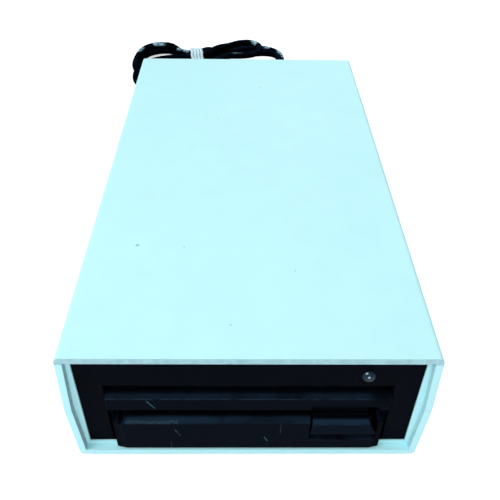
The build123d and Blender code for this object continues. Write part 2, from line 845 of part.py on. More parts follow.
with BuildPart() as head_carriage:
    slab((carriage_left, carriage_right), (carriage_front, carriage_back), (carriage_low, carriage_high))
    slab(
        (-post_half_width, post_half_width),
        (head_depth - 5.5, carriage_front + 1),
        (carriage_low + 0.6, head_low),
    )
    with BuildSketch(across(-post_half_width)) as arm_post:
        Polygon(*side_points(
            (carriage_back - 9, carriage_high),
            (carriage_back, carriage_high),
            (arm_pivot_depth + post_round, arm_pivot_height),
            (arm_pivot_depth - post_round, arm_pivot_height),
        ))
        with Locations((back(arm_pivot_depth), up(arm_pivot_height))):
            Circle(post_round)
            Circle(pin_radius + running_gap, mode=Mode.SUBTRACT)
    extrude(arm_post.sketch, amount=2 * post_half_width)
    with BuildSketch(facing(carriage_front)):
        with Locations(*[(x, up(rod_height)) for x in rod_places]):
            Circle(rod_radius + running_gap)
    extrude(amount=-(carriage_back - carriage_front), mode=Mode.SUBTRACT)
    slab((carriage_left - 5, carriage_left), (carriage_back - 3, carriage_back), (15.6, 16.2))
    with BuildSketch(across(carriage_right)):
        with Locations((back(carriage_front + 9), up(lead_screw_height))):
            Circle(0.75)
    extrude(amount=screw_x - lead_screw_radius - 0.15 - carriage_right)
save(head_carriage, "head_carriage")


def head_pad(low, high):
    """A ceramic head slider, rounded at its rim."""
    with BuildSketch(level(low)) as pad:
        with Locations((0, back(head_depth))):
            RectangleRounded(head_width, head_width - 1, 0.8)
    extrude(pad.sketch, amount=high - low)


with BuildPart() as lower_head:
    head_pad(head_low, head_high)
save(lower_head, "lower_head")

with BuildPart() as upper_head:
    head_pad(upper_head_low, upper_head_high)
save(upper_head, "upper_head")

with BuildPart() as upper_arm:
    with BuildSketch(level(arm_low)) as arm_plan:
        Polygon(
            (-arm_half_width, back(carriage_back)),
            (-arm_half_width, back(carriage_back - 10)),
            (-head_width, back(head_depth - 4)),
            (head_width, back(head_depth - 4)),
            (arm_half_width, back(carriage_back - 10)),
            (arm_half_width, back(carriage_back)),
        )
    extrude(arm_plan.sketch, amount=arm_thickness)
    with BuildSketch(level(upper_head_high)) as pillar:
        with Locations((0, back(head_depth))):
            RectangleRounded(head_width + 1, head_width, 0.8)
    extrude(pillar.sketch, amount=arm_low - upper_head_high)
    for side in (-1, 1):
        ear = sorted((side * (post_half_width + 0.3), side * arm_half_width))
        with BuildSketch(across(ear[0])) as ear_shape:
            with Locations((back(arm_pivot_depth), up(arm_pivot_height))):
                Circle(2.0)
            spanning(
                back(arm_pivot_depth - 2),
                back(arm_pivot_depth + 2),
                up(arm_pivot_height),
                up(arm_low + 0.5),
            )
            with Locations((back(arm_pivot_depth), up(arm_pivot_height))):
                Circle(pin_radius, mode=Mode.SUBTRACT)
        extrude(ear_shape.sketch, amount=ear[1] - ear[0])
save(upper_arm, "upper_arm")

with BuildPart() as arm_pin:
    with BuildSketch(across(-arm_half_width)):
        with Locations((back(arm_pivot_depth), up(arm_pivot_height))):
            Circle(pin_radius)
    extrude(amount=2 * arm_half_width)
save(arm_pin, "arm_pin")

# Stepper motor, lead screw and its front bearing
with BuildPart() as stepper_motor:
    with BuildSketch(facing(motor_bracket_back)):
        with Locations((screw_x, up(lead_screw_height))):
            Circle(motor_radius)
            Circle(lead_screw_radius + running_gap, mode=Mode.SUBTRACT)
    extrude(amount=-(motor_length - 1.5))
    with BuildSketch(facing(motor_bracket_back + motor_length - 1.5)):
        with Locations((screw_x, up(lead_screw_height))):
            Circle(motor_radius - 1)
    extrude(amount=-1.5)
save(stepper_motor, "stepper_motor")

with BuildPart() as lead_screw:
    with BuildSketch(facing(bearing_depth + bearing_length + 0.3)):
        with Locations((screw_x, up(lead_screw_height))):
            Circle(lead_screw_radius)
    extrude(amount=-(motor_bracket_back + motor_length - 3 - bearing_depth - bearing_length - 0.3))
    with BuildSketch(facing(bearing_depth)):
        with Locations((screw_x, up(lead_screw_height))):
            Circle(0.8)
    extrude(amount=-(bearing_length + 0.3))
save(lead_screw, "lead_screw")

with BuildPart() as screw_bearing:
    slab((screw_x - 3, screw_x + 3), (bearing_depth, bearing_depth + bearing_length), (deck_high, 21.0))
    with BuildSketch(facing(bearing_depth)):
        with Locations((screw_x, up(lead_screw_height))):
            Circle(0.8 + running_gap)
    extrude(amount=-bearing_length, mode=Mode.SUBTRACT)
save(screw_bearing, "screw_bearing")

# Track-zero sensor: a slotted light gate that the carriage's flag enters
with BuildPart() as track_sensor:
    slab((-28, -21.5), (carriage_back - 5, carriage_back + 1), (deck_high, 18.3))
    slab((-26, -21), (carriage_back - 6, carriage_back + 2), (15.1, 16.8), Mode.SUBTRACT)
save(track_sensor, "track_sensor")

# Logic board under the deck
with BuildPart() as logic_board:
    slab(
        (-logic_board_half_width, logic_board_half_width),
        (logic_board_front, logic_board_back),
        (logic_board_low, logic_board_low + board_thickness),
    )
    post(logic_screw_places, 1.3, (logic_board_low, logic_board_low + board_thickness), Mode.SUBTRACT)
save(logic_board, "logic_board")

with BuildPart() as board_screws:
    post(logic_screw_places, 2.0, (logic_board_low - 1.2, logic_board_low))
    post(logic_screw_places, 0.95, (logic_board_low, deck_low))
    interface_top = interface_board_low + board_thickness
    post(interface_screw_places, 2.0, (interface_top, interface_top + 1.2))
    post(interface_screw_places, 1.2, (case_wall + 1, interface_top))
save(board_screws, "board_screws")


def chips(places, top, height):
    """Flat-pack circuits seated on a board."""
    with BuildSketch(level(top)) as bodies:
        for x, depth, width, length in places:
            with Locations((x, back(depth))):
                Rectangle(width, length)
    extrude(bodies.sketch, amount=height)


logic_top = logic_board_low + board_thickness
with BuildPart() as logic_chips:
    chips(
        [(-26, 84, 16, 16), (-26, 112, 12, 8), (0, 92, 8, 12), (22, 84, 12, 12), (24, 108, 8, 14)],
        logic_top,
        1.4,
    )
save(logic_chips, "logic_chips")

header_depth = motor_bracket_back + 0.5
with BuildPart() as data_connector:
    slab(data_span, (header_depth, header_depth + connector_size), (logic_top, logic_top + connector_size))
    slab(
        (data_span[0] + 1.4, data_span[1] - 1.4),
        (header_depth + 2, header_depth + connector_size + 0.2),
        (logic_top + 1.4, logic_top + connector_size - 1.4),
        Mode.SUBTRACT,
    )
save(data_connector, "data_connector")

with BuildPart() as power_connector:
    slab(power_span, (header_depth, header_depth + 10), (logic_top, logic_top + 8))
    slab(
        (power_span[0] + 1, power_span[1] - 1),
        (header_depth + 3, header_depth + 11),
        (logic_top + 1, logic_top + 7),
        Mode.SUBTRACT,
    )
save(power_connector, "power_connector")

# Interface board behind the drive
with BuildPart() as interface_board:
    slab(
        (-interface_board_half_width, interface_board_half_width),
        (interface_board_front, interface_board_back),
        (interface_board_low, interface_top),
    )
    post(interface_screw_places, 1.3, (interface_board_low, interface_top), Mode.SUBTRACT)
save(interface_board, "interface_board")

# Its two headers are in front, and rows of chips and a column of capacitors fill the rest.
board_header_depth = interface_board_front + board_header_gap
header_end = board_header_depth + connector_size
header_top = interface_top + connector_size
with BuildPart() as board_headers:
    for span in (data_span, power_span):
        slab(span, (board_header_depth, header_end), (interface_top, header_top))
save(board_headers, "board_headers")

chip_rows = (
    ((26, 20, 8), (-30, 24, 15), (0, 20, 8)),
    ((26, 20, 8), (0, 24, 8)),
)
board_room = interface_board_back - header_end
row_chips = []
for row in range(int(board_room / chip_row_room)):
    row_depth = header_end + chip_row_start + row * chip_row_pitch
    row_chips += [(x, row_depth, width, length) for x, width, length in chip_rows[row % len(chip_rows)]]
with BuildPart() as interface_chips:
    chips(row_chips, interface_top, 4.2)
save(interface_chips, "interface_chips")

capacitor_places = [
    (41.5, header_end + capacitor_start + place * capacitor_pitch) for place in range(int(board_room / capacitor_room))
]
with BuildPart() as interface_capacitors:
    post(capacitor_places, 3.1, (interface_top, interface_top + 11))
    fillet(interface_capacitors.edges().filter_by(GeomType.CIRCLE).group_by(Axis.Z)[-1], 0.6)
save(interface_capacitors, "interface_capacitors")


def flat_cable(left, right, start_height):
    """A flat cable from the drive's connector up and over to the header behind it."""
    start = header_depth + 6
    drop = board_header_depth + connector_size / 2
    with BuildSketch(across(left)) as strip:
        with BuildLine() as run:
            FilletPolyline(
                *side_points(
                    (start, start_height),
                    (start + 14, start_height),
                    (start + 14, start_height + 17),
                    (drop, start_height + 17),
                    (drop, header_top + 1.7),
                ),
                radius=4.0,
            )
        trace(run.line, ribbon_thickness)
    extrude(strip.sketch, amount=right - left)


with BuildPart() as ribbon_cable:
    flat_cable(data_span[0] + 2.5, data_span[1] - 2.5, logic_top + connector_size / 2)
save(ribbon_cable, "ribbon_cable")

with BuildPart() as power_cable:
    flat_cable(power_span[0] + 2, power_span[1] - 2, logic_top + 4)
save(power_cable, "power_cable")

with BuildPart() as cable_plugs:
    for left, right in (data_span, power_span):
        slab((left + 0.5, right - 0.5), (board_header_depth, header_end), (header_top, header_top + 2.7))
        slab(
            (left + 1, right - 1),
            (board_header_depth + 3.4, board_header_depth + 5.4),
            (header_top + 1.5, header_top + 2.8),
            Mode.SUBTRACT,
        )
save(cable_plugs, "cable_plugs")

# Cord: relief, lead, hank, tie, tail and plug. Heights here are above the table.
relief_start = case_depth - panel_front
cord_radius = cord_diameter / 2
exit_y = back(relief_start + relief_length)
exit_z = up(cord_exit_height)
with BuildPart() as strain_relief:
    with BuildSketch(Plane.XY):
        with BuildLine():
            Polyline(
                (0, -panel_thickness - 1.5),
                (relief_radius, -panel_thickness - 1.5),
                (relief_radius, -panel_thickness),
                (relief_neck, -panel_thickness),
                (relief_neck, 0),
                (relief_radius + 0.6, 0),
                (relief_radius + 0.6, 2.0),
                (relief_radius - 0.4, 3.0),
                (cord_radius + 0.7, relief_length),
                (0, relief_length),
                (0, -panel_thickness - 1.5),
            )
        make_face()
    revolve(axis=Axis.Y)
strain_relief.part = Pos(cord_exit_x, back(relief_start), exit_z) * strain_relief.part
save(strain_relief, "strain_relief")


def corner_radii(points):
    """For each corner, 0.45 of the shorter run divided by the tangent of half the turn."""
    radii = []
    for before, corner, after in zip(points, points[1:], points[2:]):
        run_in = Vector(*corner) - Vector(*before)
        run_out = Vector(*after) - Vector(*corner)
        turn = radians(run_in.get_angle(run_out))
        radii.append(0.45 * min(run_in.length, run_out.length) / tan(turn / 2))
    return radii


def report_tube(name, part, path):
    """Compares a tube's volume with its section times its length."""
    expected = path.length * pi * cord_radius**2
    print(f"{name}: {path.length:.1f} mm long, volume {part.part.volume:.0f}, expected {expected:.0f}")


floor_z = cord_radius + 0.1
hank_start = (-86.5, 226.0)
lead_points = [
    (cord_exit_x, exit_y, exit_z),
    (cord_exit_x, exit_y + 15.0, exit_z),
    (cord_exit_x - 5.0, exit_y + 29.0, floor_z + 4.0),
    (cord_exit_x - 22.0, exit_y + 43.0, floor_z),
    (-74.0, 188.0, floor_z),
    (hank_start[0], hank_start[1] - 21.0, floor_z),
    (*hank_start, floor_z),
]
lead_radii = corner_radii(lead_points)
with BuildPart() as cord_lead:
    with BuildLine() as lead_path:
        FilletPolyline(*lead_points, radius=lead_radii)
    with BuildSketch(Plane(origin=lead_path.line @ 0, z_dir=lead_path.line % 0)):
        Circle(cord_radius)
    sweep()
save(cord_lead, "cord_lead")
print("lead radii", [round(r, 1) for r in lead_radii])
report_tube("cord_lead", cord_lead, lead_path.wires()[0])


def heading(angle):
    """A level direction, in degrees from +X towards +Y."""
    return Vector(cos(radians(angle)), sin(radians(angle)), 0)


def bend(start, start_way, end, end_way):
    """Two tangent arcs between two points with a direction at each."""
    span = end - start
    both = start_way + end_way
    a = 2 * (1 - start_way.dot(end_way))
    b = 2 * span.dot(both)
    c = -span.dot(span)
    reach = -c / b if abs(a) < 1e-6 else (-b + sqrt(b * b - 4 * a * c)) / (2 * a)
    middle = (start + start_way * reach + end - end_way * reach) * 0.5
    chord = (middle - start).normalized()
    middle_way = chord * (2 * start_way.dot(chord)) - start_way
    for p, q, way in ((start, middle, start_way), (middle, end, middle_way)):
        if (q - p).normalized().cross(way).length < 1e-4:
            Line(p, q)
        else:
            TangentArc(p, q, tangent=way)


# The hank's loops lie on each other and are drawn together at the waist, where the tie is.
# A node is x, y, the layer it lies on and its heading. A waist strand is the column and row it takes
# in the bundle, and its heading. Each loop is left tip, far side, right tip and near side.
waist = (-38.5, 235.0)
waist_half_length = 4.5
waist_step = 6.0
waist_low = cord_radius + tie_wire + 0.6
layer_step = 6.0
hank_loops = [
    {"far_left": [(*hank_start, 0, 90), (-70, 262, 0, 0)],
     "far_waist": (1, 0),
     "right": [(-13, 253, 0, 38), (7, 270.5, 0, 0), (29.8, 243, 0, -90), (-1, 202.5, 0, 180)],
     "near_waist": (-1.1, 0),
     "near_left": [(-60, 200, 1, 180)]},
    {"far_left": [(-87.3, 228, 1, 90), (-71, 259.5, 1, 0)],
     "far_waist": (0.5, 1),
     "right": [(-20, 239.5, 1.1, 8), (12, 246.5, 1, 0), (27, 232, 1, -90), (-1, 221.5, 0, 180)],
     "near_waist": (0, 0),
     "near_left": [(-66, 222, 0, 180)]},
    {"far_left": [(-76.2, 231.8, 0, 90), (-66, 241.6, 0.5, 0)],
     "far_waist": (-0.5, 1),
     "right": [(-21, 236.5, 2, 32), (-11, 244, 2.1, 34), (-1, 249, 2.1, 6), (10.5, 238.5, 2.1, -90),
               (0, 228, 2.1, 180)],
     "near_waist": None,
     "near_left": []},
]


def waist_place(column, row):
    """The y and z of a strand under the tie."""
    return waist[1] + column * waist_step, waist_low + row * waist_step


def waist_run(place, way):
    """The two ends of a strand's straight stretch under the tie, for a heading along X."""
    reach = heading(way) * waist_half_length
    centre = Vector(waist[0], *waist_place(*place))
    return [(centre - reach, heading(way)), (centre + reach, heading(way))]


def laid(nodes):
    """Nodes of the hank as points with a direction."""
    return [(Vector(x, y, floor_z + layer * layer_step), heading(way)) for x, y, layer, way in nodes]


hank_nodes = []
for loop in hank_loops:
    hank_nodes += laid(loop["far_left"]) + waist_run(loop["far_waist"], 0) + laid(loop["right"])
    if loop["near_waist"]:
        hank_nodes += waist_run(loop["near_waist"], 180) + laid(loop["near_left"])
with BuildPart() as cord_hank:
    with BuildLine() as hank_path:
        for (start, start_way), (end, end_way) in zip(hank_nodes, hank_nodes[1:]):
            bend(start, start_way, end, end_way)
    with BuildSketch(Plane(origin=hank_nodes[0][0], z_dir=hank_nodes[0][1])):
        Circle(cord_radius)
    sweep(path=hank_path.wires()[0])
save(cord_hank, "cord_hank")
report_tube("cord_hank", cord_hank, hank_path.wires()[0])


def least_gap(edges, skip):
    """The least distance between points of a path that are not neighbours, and where it is."""
    samples = []
    travelled = 0.0
    for edge in edges:
        count = max(2, int(edge.length / 2))
        for step in range(count):
            place = edge.position_at(step / count)
            samples.append((travelled + edge.length * step / count, place.X, place.Y, place.Z))
        travelled += edge.length
    least = (1e9, None)
    for i, (s, x, y, z) in enumerate(samples):
        for t, u, v, w in samples[i + 1:]:
            if t - s > skip:
                least = min(least, (sqrt((x - u) ** 2 + (y - v) ** 2 + (z - w) ** 2), (x, y, z)))
    return least


gap, place = least_gap(hank_path.edges(), 5 * cord_diameter)
print(f"cord_hank: least gap to itself {gap - cord_diameter:.2f} mm, at", [round(v, 1) for v in place])

# Tie: one white string wound round the hank's waist, along the bundle's outline
tie_turns = 3
tie_pitch = 2.4
tie_out = cord_radius + tie_wire / 2 + 0.3
tie_corners = [waist_place(1, 0), waist_place(-1.1, 0), waist_place(-0.5, 1), waist_place(0.5, 1)]
tie_nodes = []
for turn in range(tie_turns):
    x = waist[0] + tie_pitch * (turn - tie_turns / 2)
    for side, (corner, following) in enumerate(zip(tie_corners, tie_corners[1:] + tie_corners[:1])):
        edge = Vector(0, following[0] - corner[0], following[1] - corner[1]).normalized()
        outwards = Vector(0, -edge.Z, edge.Y) * tie_out
        start_x = x if side < 3 else x + tie_pitch
        end_x = x if side < 2 else x + tie_pitch
        tie_nodes.append((Vector(start_x, *corner) + outwards, edge))
        tie_nodes.append((Vector(end_x, *following) + outwards, edge))
with BuildPart() as cord_tie:
    with BuildLine() as tie_path:
        for (start, start_way), (end, end_way) in zip(tie_nodes, tie_nodes[1:]):
            bend(start, start_way, end, end_way)
    with BuildSketch(Plane(origin=tie_nodes[0][0], z_dir=tie_nodes[0][1])):
        Circle(tie_wire / 2)
    sweep(path=tie_path.wires()[0])
save(cord_tie, "cord_tie")

# Tail: from the hank's last loop down to the plug, which lies behind the case
plug_start = (0.0, 158.0)
plug_z = plug_radius + 0.1
tail_start = hank_nodes[-1][0]
tail_points = [
    (tail_start.X, tail_start.Y, tail_start.Z),
    (tail_start.X - 18.0, tail_start.Y, tail_start.Z),
    (tail_start.X - 33.0, tail_start.Y - 14.0, plug_z + 1.5),
    (tail_start.X - 36.0, tail_start.Y - 35.0, plug_z),
    (tail_start.X - 31.0, plug_start[1] + 12.5, plug_z),
    (plug_start[0] - 15.0, plug_start[1], plug_z),
    (plug_start[0], plug_start[1], plug_z),
]
tail_radii = corner_radii(tail_points)
with BuildPart() as cord_tail:
    with BuildLine() as tail_path:
        FilletPolyline(*tail_points, radius=tail_radii)
    with BuildSketch(Plane(origin=tail_path.line @ 0, z_dir=tail_path.line % 0)):
        Circle(cord_radius)
    sweep()
save(cord_tail, "cord_tail")
print("tail radii", [round(r, 1) for r in tail_radii])
report_tube("cord_tail", cord_tail, tail_path.wires()[0])
tubes = (lead_path, hank_path, tail_path)
print(f"cord length {sum(tube.wires()[0].length for tube in tubes):.0f} mm")

# Plug: a round data plug with a ribbed grip, a metal shell and its pins
relief_tip = cord_radius + 0.6
with BuildPart() as plug_body:
    with BuildSketch(Plane.XZ):
        with BuildLine():
            Polyline(
                (0, 0),
                (0, relief_tip),
                (plug_relief, relief_tip + 1.5),
                (plug_relief, plug_radius - 0.8),
                (plug_relief + 0.8, plug_radius),
                (plug_relief + plug_length - 3, plug_radius),
                (plug_relief + plug_length, plug_radius - 1.2),
                (plug_relief + plug_length, 0),
                (0, 0),
            )
        make_face()
    revolve(axis=Axis.X)
    for rib in range(grip_grooves):
        with BuildSketch(Plane.YZ.offset(plug_relief + 8 + rib * 2.6)):
            Circle(plug_radius + 1)
            Circle(plug_radius - 0.5, mode=Mode.SUBTRACT)
        extrude(amount=1.1, mode=Mode.SUBTRACT)
plug_body.part = Pos(*plug_start, plug_z) * plug_body.part
save(plug_body, "plug_body")

shell_start = plug_start[0] + plug_relief + plug_length
plug_face = Plane(origin=(shell_start, plug_start[1], plug_z), x_dir=(0, 1, 0), z_dir=(1, 0, 0))
with BuildPart() as plug_shell:
    with BuildSketch(plug_face):
        Circle(plug_shell_radius)
        Circle(plug_shell_radius - 0.6, mode=Mode.SUBTRACT)
        spanning(-1.2, 1.2, plug_shell_radius - 1.2, plug_shell_radius + 1, Mode.SUBTRACT)
    extrude(amount=plug_shell_length)
save(plug_shell, "plug_shell")

with BuildPart() as plug_pins:
    with BuildSketch(plug_face):
        Circle(plug_shell_radius - 0.75)
    extrude(amount=plug_shell_length / 3)
    with BuildSketch(plug_face):
        with PolarLocations(plug_pin_ring, 7, start_angle=-60, angular_range=300, endpoint=True):
            Circle(0.6)
    extrude(amount=plug_shell_length - 1.5)
save(plug_pins, "plug_pins")
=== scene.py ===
from math import pi, radians

import bpy
import numpy as np
from mathutils import Euler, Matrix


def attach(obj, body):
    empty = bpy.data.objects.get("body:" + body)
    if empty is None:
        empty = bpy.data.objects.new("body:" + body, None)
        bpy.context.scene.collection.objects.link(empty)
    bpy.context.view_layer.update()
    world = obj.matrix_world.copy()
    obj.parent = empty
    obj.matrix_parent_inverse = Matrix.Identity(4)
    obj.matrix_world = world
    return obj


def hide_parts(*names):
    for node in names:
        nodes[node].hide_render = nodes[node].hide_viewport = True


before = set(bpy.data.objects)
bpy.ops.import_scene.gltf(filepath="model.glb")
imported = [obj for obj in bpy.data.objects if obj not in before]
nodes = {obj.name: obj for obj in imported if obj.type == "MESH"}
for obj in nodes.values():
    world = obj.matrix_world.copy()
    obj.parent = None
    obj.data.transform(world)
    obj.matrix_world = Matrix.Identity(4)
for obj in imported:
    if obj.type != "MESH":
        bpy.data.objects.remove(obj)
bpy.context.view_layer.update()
print("frame:", len(nodes), "nodes")

# The scene is in metres; a length in mm is multiplied by mm
mm = 0.001
scene = bpy.context.scene
scene.view_settings.view_transform = "Standard"


# Camera: the photograph is taken from in front, well above the case
cameraView = {
    "place": (-0.00306, -0.24541, 0.21294),
    "turn": (49.58, -1.14, 0.37),
    "lens": 44.19,
    "sensor": 36.0,
}
cameraData = bpy.data.cameras.new("camera")
cameraData.lens = cameraView["lens"]
cameraData.sensor_width = cameraView["sensor"]
cameraObject = bpy.data.objects.new("camera", cameraData)
cameraObject.rotation_mode = "YXZ"
cameraObject.rotation_euler = Euler([radians(v) for v in cameraView["turn"]], "YXZ")
cameraObject.location = cameraView["place"]
scene.collection.objects.link(cameraObject)
scene.camera = cameraObject


def addNode(tree, kind, inputs=None, **settings):
    # inputs holds values or sockets of other nodes, by name or number
    node = tree.nodes.new(kind)
    for name, value in settings.items():
        setattr(node, name, value)
    for name, value in (inputs or {}).items():
        if isinstance(value, bpy.types.NodeSocket):
            tree.links.new(value, node.inputs[name])
        else:
            node.inputs[name].default_value = value
    return node


def maths(tree, operation, a, b=0.0, clamp=False):
    return addNode(tree, "ShaderNodeMath", {0: a, 1: b}, operation=operation, use_clamp=clamp).outputs[0]


def vectorMaths(tree, operation, a, b, result=0):
    return addNode(tree, "ShaderNodeVectorMath", {0: a, 1: b}, operation=operation).outputs[result]


def axes(tree, vector):
    # the X, Y and Z of a vector, by name
    return addNode(tree, "ShaderNodeSeparateXYZ", {0: vector}).outputs


def faceNormal(tree):
    return addNode(tree, "ShaderNodeNewGeometry").outputs["Normal"]


def noise(tree, vector, scale, detail):
    # smooth noise between 0 and 1, about 0.5
    return addNode(
        tree, "ShaderNodeTexNoise", {"Vector": vector, "Scale": scale, "Detail": detail}
    ).outputs["Fac"]


def mapped(tree, value, fromLow, fromHigh, toLow=0.0, toHigh=1.0):
    # a value stretched from one range to another, held inside it
    return addNode(
        tree,
        "ShaderNodeMapRange",
        {"Value": value, "From Min": fromLow, "From Max": fromHigh, "To Min": toLow, "To Max": toHigh},
    ).outputs["Result"]


def blended(tree, factor, a, b, way="MIX"):
    # colours a and b mixed
    node = addNode(tree, "ShaderNodeMix", data_type="RGBA", blend_type=way)
    sockets = {"Factor": node.inputs[0], "A": node.inputs[6], "B": node.inputs[7]}
    for name, value in (("Factor", factor), ("A", a), ("B", b)):
        if isinstance(value, bpy.types.NodeSocket):
            tree.links.new(value, sockets[name])
        elif name == "Factor":
            sockets[name].default_value = value
        else:
            sockets[name].default_value = (*value, 1.0)
    return node.outputs[2]


def newGroup(name, inputs, outputs):
    # a shader group with named numbers going in, and masks, heights, shades or normals coming out
    group = bpy.data.node_groups.new(name, "ShaderNodeTree")
    for label, value in inputs.items():
        socket = group.interface.new_socket(label, in_out="INPUT", socket_type="NodeSocketFloat")
        socket.default_value = value
    for label, kind in outputs.items():
        group.interface.new_socket(label, in_out="OUTPUT", socket_type="NodeSocket" + kind)
    return group, group.nodes.new("NodeGroupInput"), group.nodes.new("NodeGroupOutput")


def place(tree, stretch=(1, 1, 1)):
    # object coordinates, stretched along X, Y and Z
    coordinates = addNode(tree, "ShaderNodeTexCoord").outputs["Object"]
    return addNode(tree, "ShaderNodeMapping", {"Vector": coordinates, "Scale": stretch}).outputs["Vector"]


def sideways(left, right, y, z):
    # a stroke along X, in mm
    return [(left, y, z), (right, y, z)]


def strokeMask(tree, strokes, width):
    # 1 along straight strokes between two points in mm, 0 past their width; the nearest stroke counts
    spot = addNode(tree, "ShaderNodeTexCoord").outputs["Object"]
    fullShare = 0.4
    leastRun = 1e-12  # a stroke can be one point
    total = None
    for start, end in strokes:
        run = (np.array(end) - start) * mm
        offset = vectorMaths(tree, "SUBTRACT", spot, np.array(start) * mm)
        along = vectorMaths(tree, "DOT_PRODUCT", offset, run, "Value")
        share = maths(tree, "DIVIDE", along, max(float(run @ run), leastRun), clamp=True)
        nearest = addNode(tree, "ShaderNodeVectorMath", {0: run, "Scale": share}, operation="SCALE")
        gap = vectorMaths(tree, "DISTANCE", offset, nearest.outputs[0], "Value")
        mask = mapped(tree, gap, width * mm, fullShare * width * mm)
        total = mask if total is None else maths(tree, "MAXIMUM", total, mask)
    return total


# Shared effects. A pair is where a mask starts and where it is full; streakShade is the shade at either end.
effects = {
    "fineDetail": 3.0,
    "pitScale": 0.6,
    "pitHeight": 0.5,
    "mottleScale": 28.0,
    "mottleDetail": 4.0,
    "corner": (0.02, 0.25),
    "rubScale": 160.0,
    "rubDetail": 5.0,
    "rub": (0.42, 0.62),
    "lying": (0.2, 1.0),
    "driftDetail": 7.0,
    "hairStretch": 34.0,
    "hairDetail": 2.0,
    "hair": (0.69, 0.72),
    "zoneScale": 55.0,
    "zoneDetail": 1.0,
    "zone": (0.6, 0.66),
    "speck": (0.06, 0.03),
    "streakStretch": 0.03,
    "streakDetail": 4.0,
    "streak": (0.3, 0.7),
    "streakShade": (0.88, 1.08),
    "breakUp": (0.35, 0.6),
    "breakDetail": 3.0,
    "grainRoughness": 0.08,
    "scratchRoughness": 0.2,
    "dustRoughness": 0.5,
}

# Moulded grain: fine noise and shallow pits as a height, and a slow mottle as a shade
mouldedGrain, given, result = newGroup(
    "moulded_grain", {"Scale": 1500.0, "Mottle": 0.05}, {"Height": "Float", "Shade": "Float"}
)
spot = place(mouldedGrain)
fine = noise(mouldedGrain, spot, given.outputs["Scale"], effects["fineDetail"])
pitScale = maths(mouldedGrain, "MULTIPLY", given.outputs["Scale"], effects["pitScale"])
pits = addNode(mouldedGrain, "ShaderNodeTexVoronoi", {"Vector": spot, "Scale": pitScale})
pitHeight = maths(mouldedGrain, "MULTIPLY", pits.outputs["Distance"], effects["pitHeight"])
mouldedGrain.links.new(maths(mouldedGrain, "ADD", fine, pitHeight), result.inputs["Height"])
slow = noise(mouldedGrain, spot, effects["mottleScale"], effects["mottleDetail"])
# the noise goes round 0.5, so the shade differs from 1 by the mottle at most
drift = maths(mouldedGrain, "SUBTRACT", slow, 0.5)
drift = maths(mouldedGrain, "MULTIPLY", drift, given.outputs["Mottle"])
shade = maths(mouldedGrain, "ADD", maths(mouldedGrain, "MULTIPLY", drift, 2.0), 1.0)
mouldedGrain.links.new(shade, result.inputs["Shade"])

# Edge wear: where a rounded normal leaves the face's own, broken up by noise
edgeWear, given, result = newGroup("edge_wear", {"Radius": 0.4 * mm}, {"Mask": "Float", "Normal": "Vector"})
rounded = addNode(edgeWear, "ShaderNodeBevel", {"Radius": given.outputs["Radius"]}, samples=4)
rounded = rounded.outputs["Normal"]
agree = vectorMaths(edgeWear, "DOT_PRODUCT", rounded, faceNormal(edgeWear), "Value")
corner = mapped(edgeWear, maths(edgeWear, "SUBTRACT", 1.0, agree), *effects["corner"])
patches = noise(edgeWear, place(edgeWear), effects["rubScale"], effects["rubDetail"])
rubbed = maths(edgeWear, "MULTIPLY", corner, mapped(edgeWear, patches, *effects["rub"]))
edgeWear.links.new(rubbed, result.inputs["Mask"])
edgeWear.links.new(rounded, result.inputs["Normal"])

# Settled dust and painted sheen: faces that look up, broken up by noise
settledDustAndSheen, given, result = newGroup(
    "settled_dust_and_sheen", {"Scale": 90.0, "Low": 0.42, "High": 0.72}, {"Mask": "Float"}
)
lying = mapped(settledDustAndSheen, axes(settledDustAndSheen, faceNormal(settledDustAndSheen))["Z"], *effects["lying"])
drifts = noise(settledDustAndSheen, place(settledDustAndSheen), given.outputs["Scale"], effects["driftDetail"])
drifts = mapped(settledDustAndSheen, drifts, given.outputs["Low"], given.outputs["High"])
settledDustAndSheen.links.new(maths(settledDustAndSheen, "MULTIPLY", lying, drifts), result.inputs["Mask"])

# Hair scratches: stretched noise cut down to thin lines, present only here and there
hairScratches, given, result = newGroup("hair_scratches", {"Turn": 0.5, "Scale": 30.0}, {"Mask": "Float"})
turned = addNode(
    hairScratches,
    "ShaderNodeVectorRotate",
    {"Vector": place(hairScratches), "Angle": given.outputs["Turn"]},
    rotation_type="Z_AXIS",
).outputs["Vector"]
drawn = addNode(
    hairScratches, "ShaderNodeMapping", {"Vector": turned, "Scale": (1.0, effects["hairStretch"], 1.0)}
).outputs["Vector"]
lines = noise(hairScratches, drawn, given.outputs["Scale"], effects["hairDetail"])
lines = mapped(hairScratches, lines, *effects["hair"])
zones = noise(hairScratches, turned, effects["zoneScale"], effects["zoneDetail"])
zones = mapped(hairScratches, zones, *effects["zone"])
hairScratches.links.new(maths(hairScratches, "MULTIPLY", lines, zones), result.inputs["Mask"])

# Specks: the middles of a few cells drawn at random
looseSpecks, given, result = newGroup("loose_specks", {"Scale": 70.0, "Share": 0.2}, {"Mask": "Float"})
cells = addNode(
    looseSpecks, "ShaderNodeTexVoronoi", {"Vector": place(looseSpecks), "Scale": given.outputs["Scale"]}
)
draw = addNode(looseSpecks, "ShaderNodeSeparateColor", {0: cells.outputs["Color"]}).outputs[0]
chosen = maths(looseSpecks, "LESS_THAN", draw, given.outputs["Share"])
middles = mapped(looseSpecks, cells.outputs["Distance"], *effects["speck"])
looseSpecks.links.new(maths(looseSpecks, "MULTIPLY", chosen, middles), result.inputs["Mask"])

# Brushed metal: noise stretched along X as a height and a shade
brushedLines, given, result = newGroup(
    "brushed_lines", {"Scale": 700.0}, {"Height": "Float", "Shade": "Float"}
)
along = place(brushedLines, stretch=(effects["streakStretch"], 1.0, 1.0))
streaks = noise(brushedLines, along, given.outputs["Scale"], effects["streakDetail"])
shade = mapped(brushedLines, streaks, *effects["streak"], *effects["streakShade"])
brushedLines.links.new(streaks, result.inputs["Height"])
brushedLines.links.new(shade, result.inputs["Shade"])
print("shader groups ready")


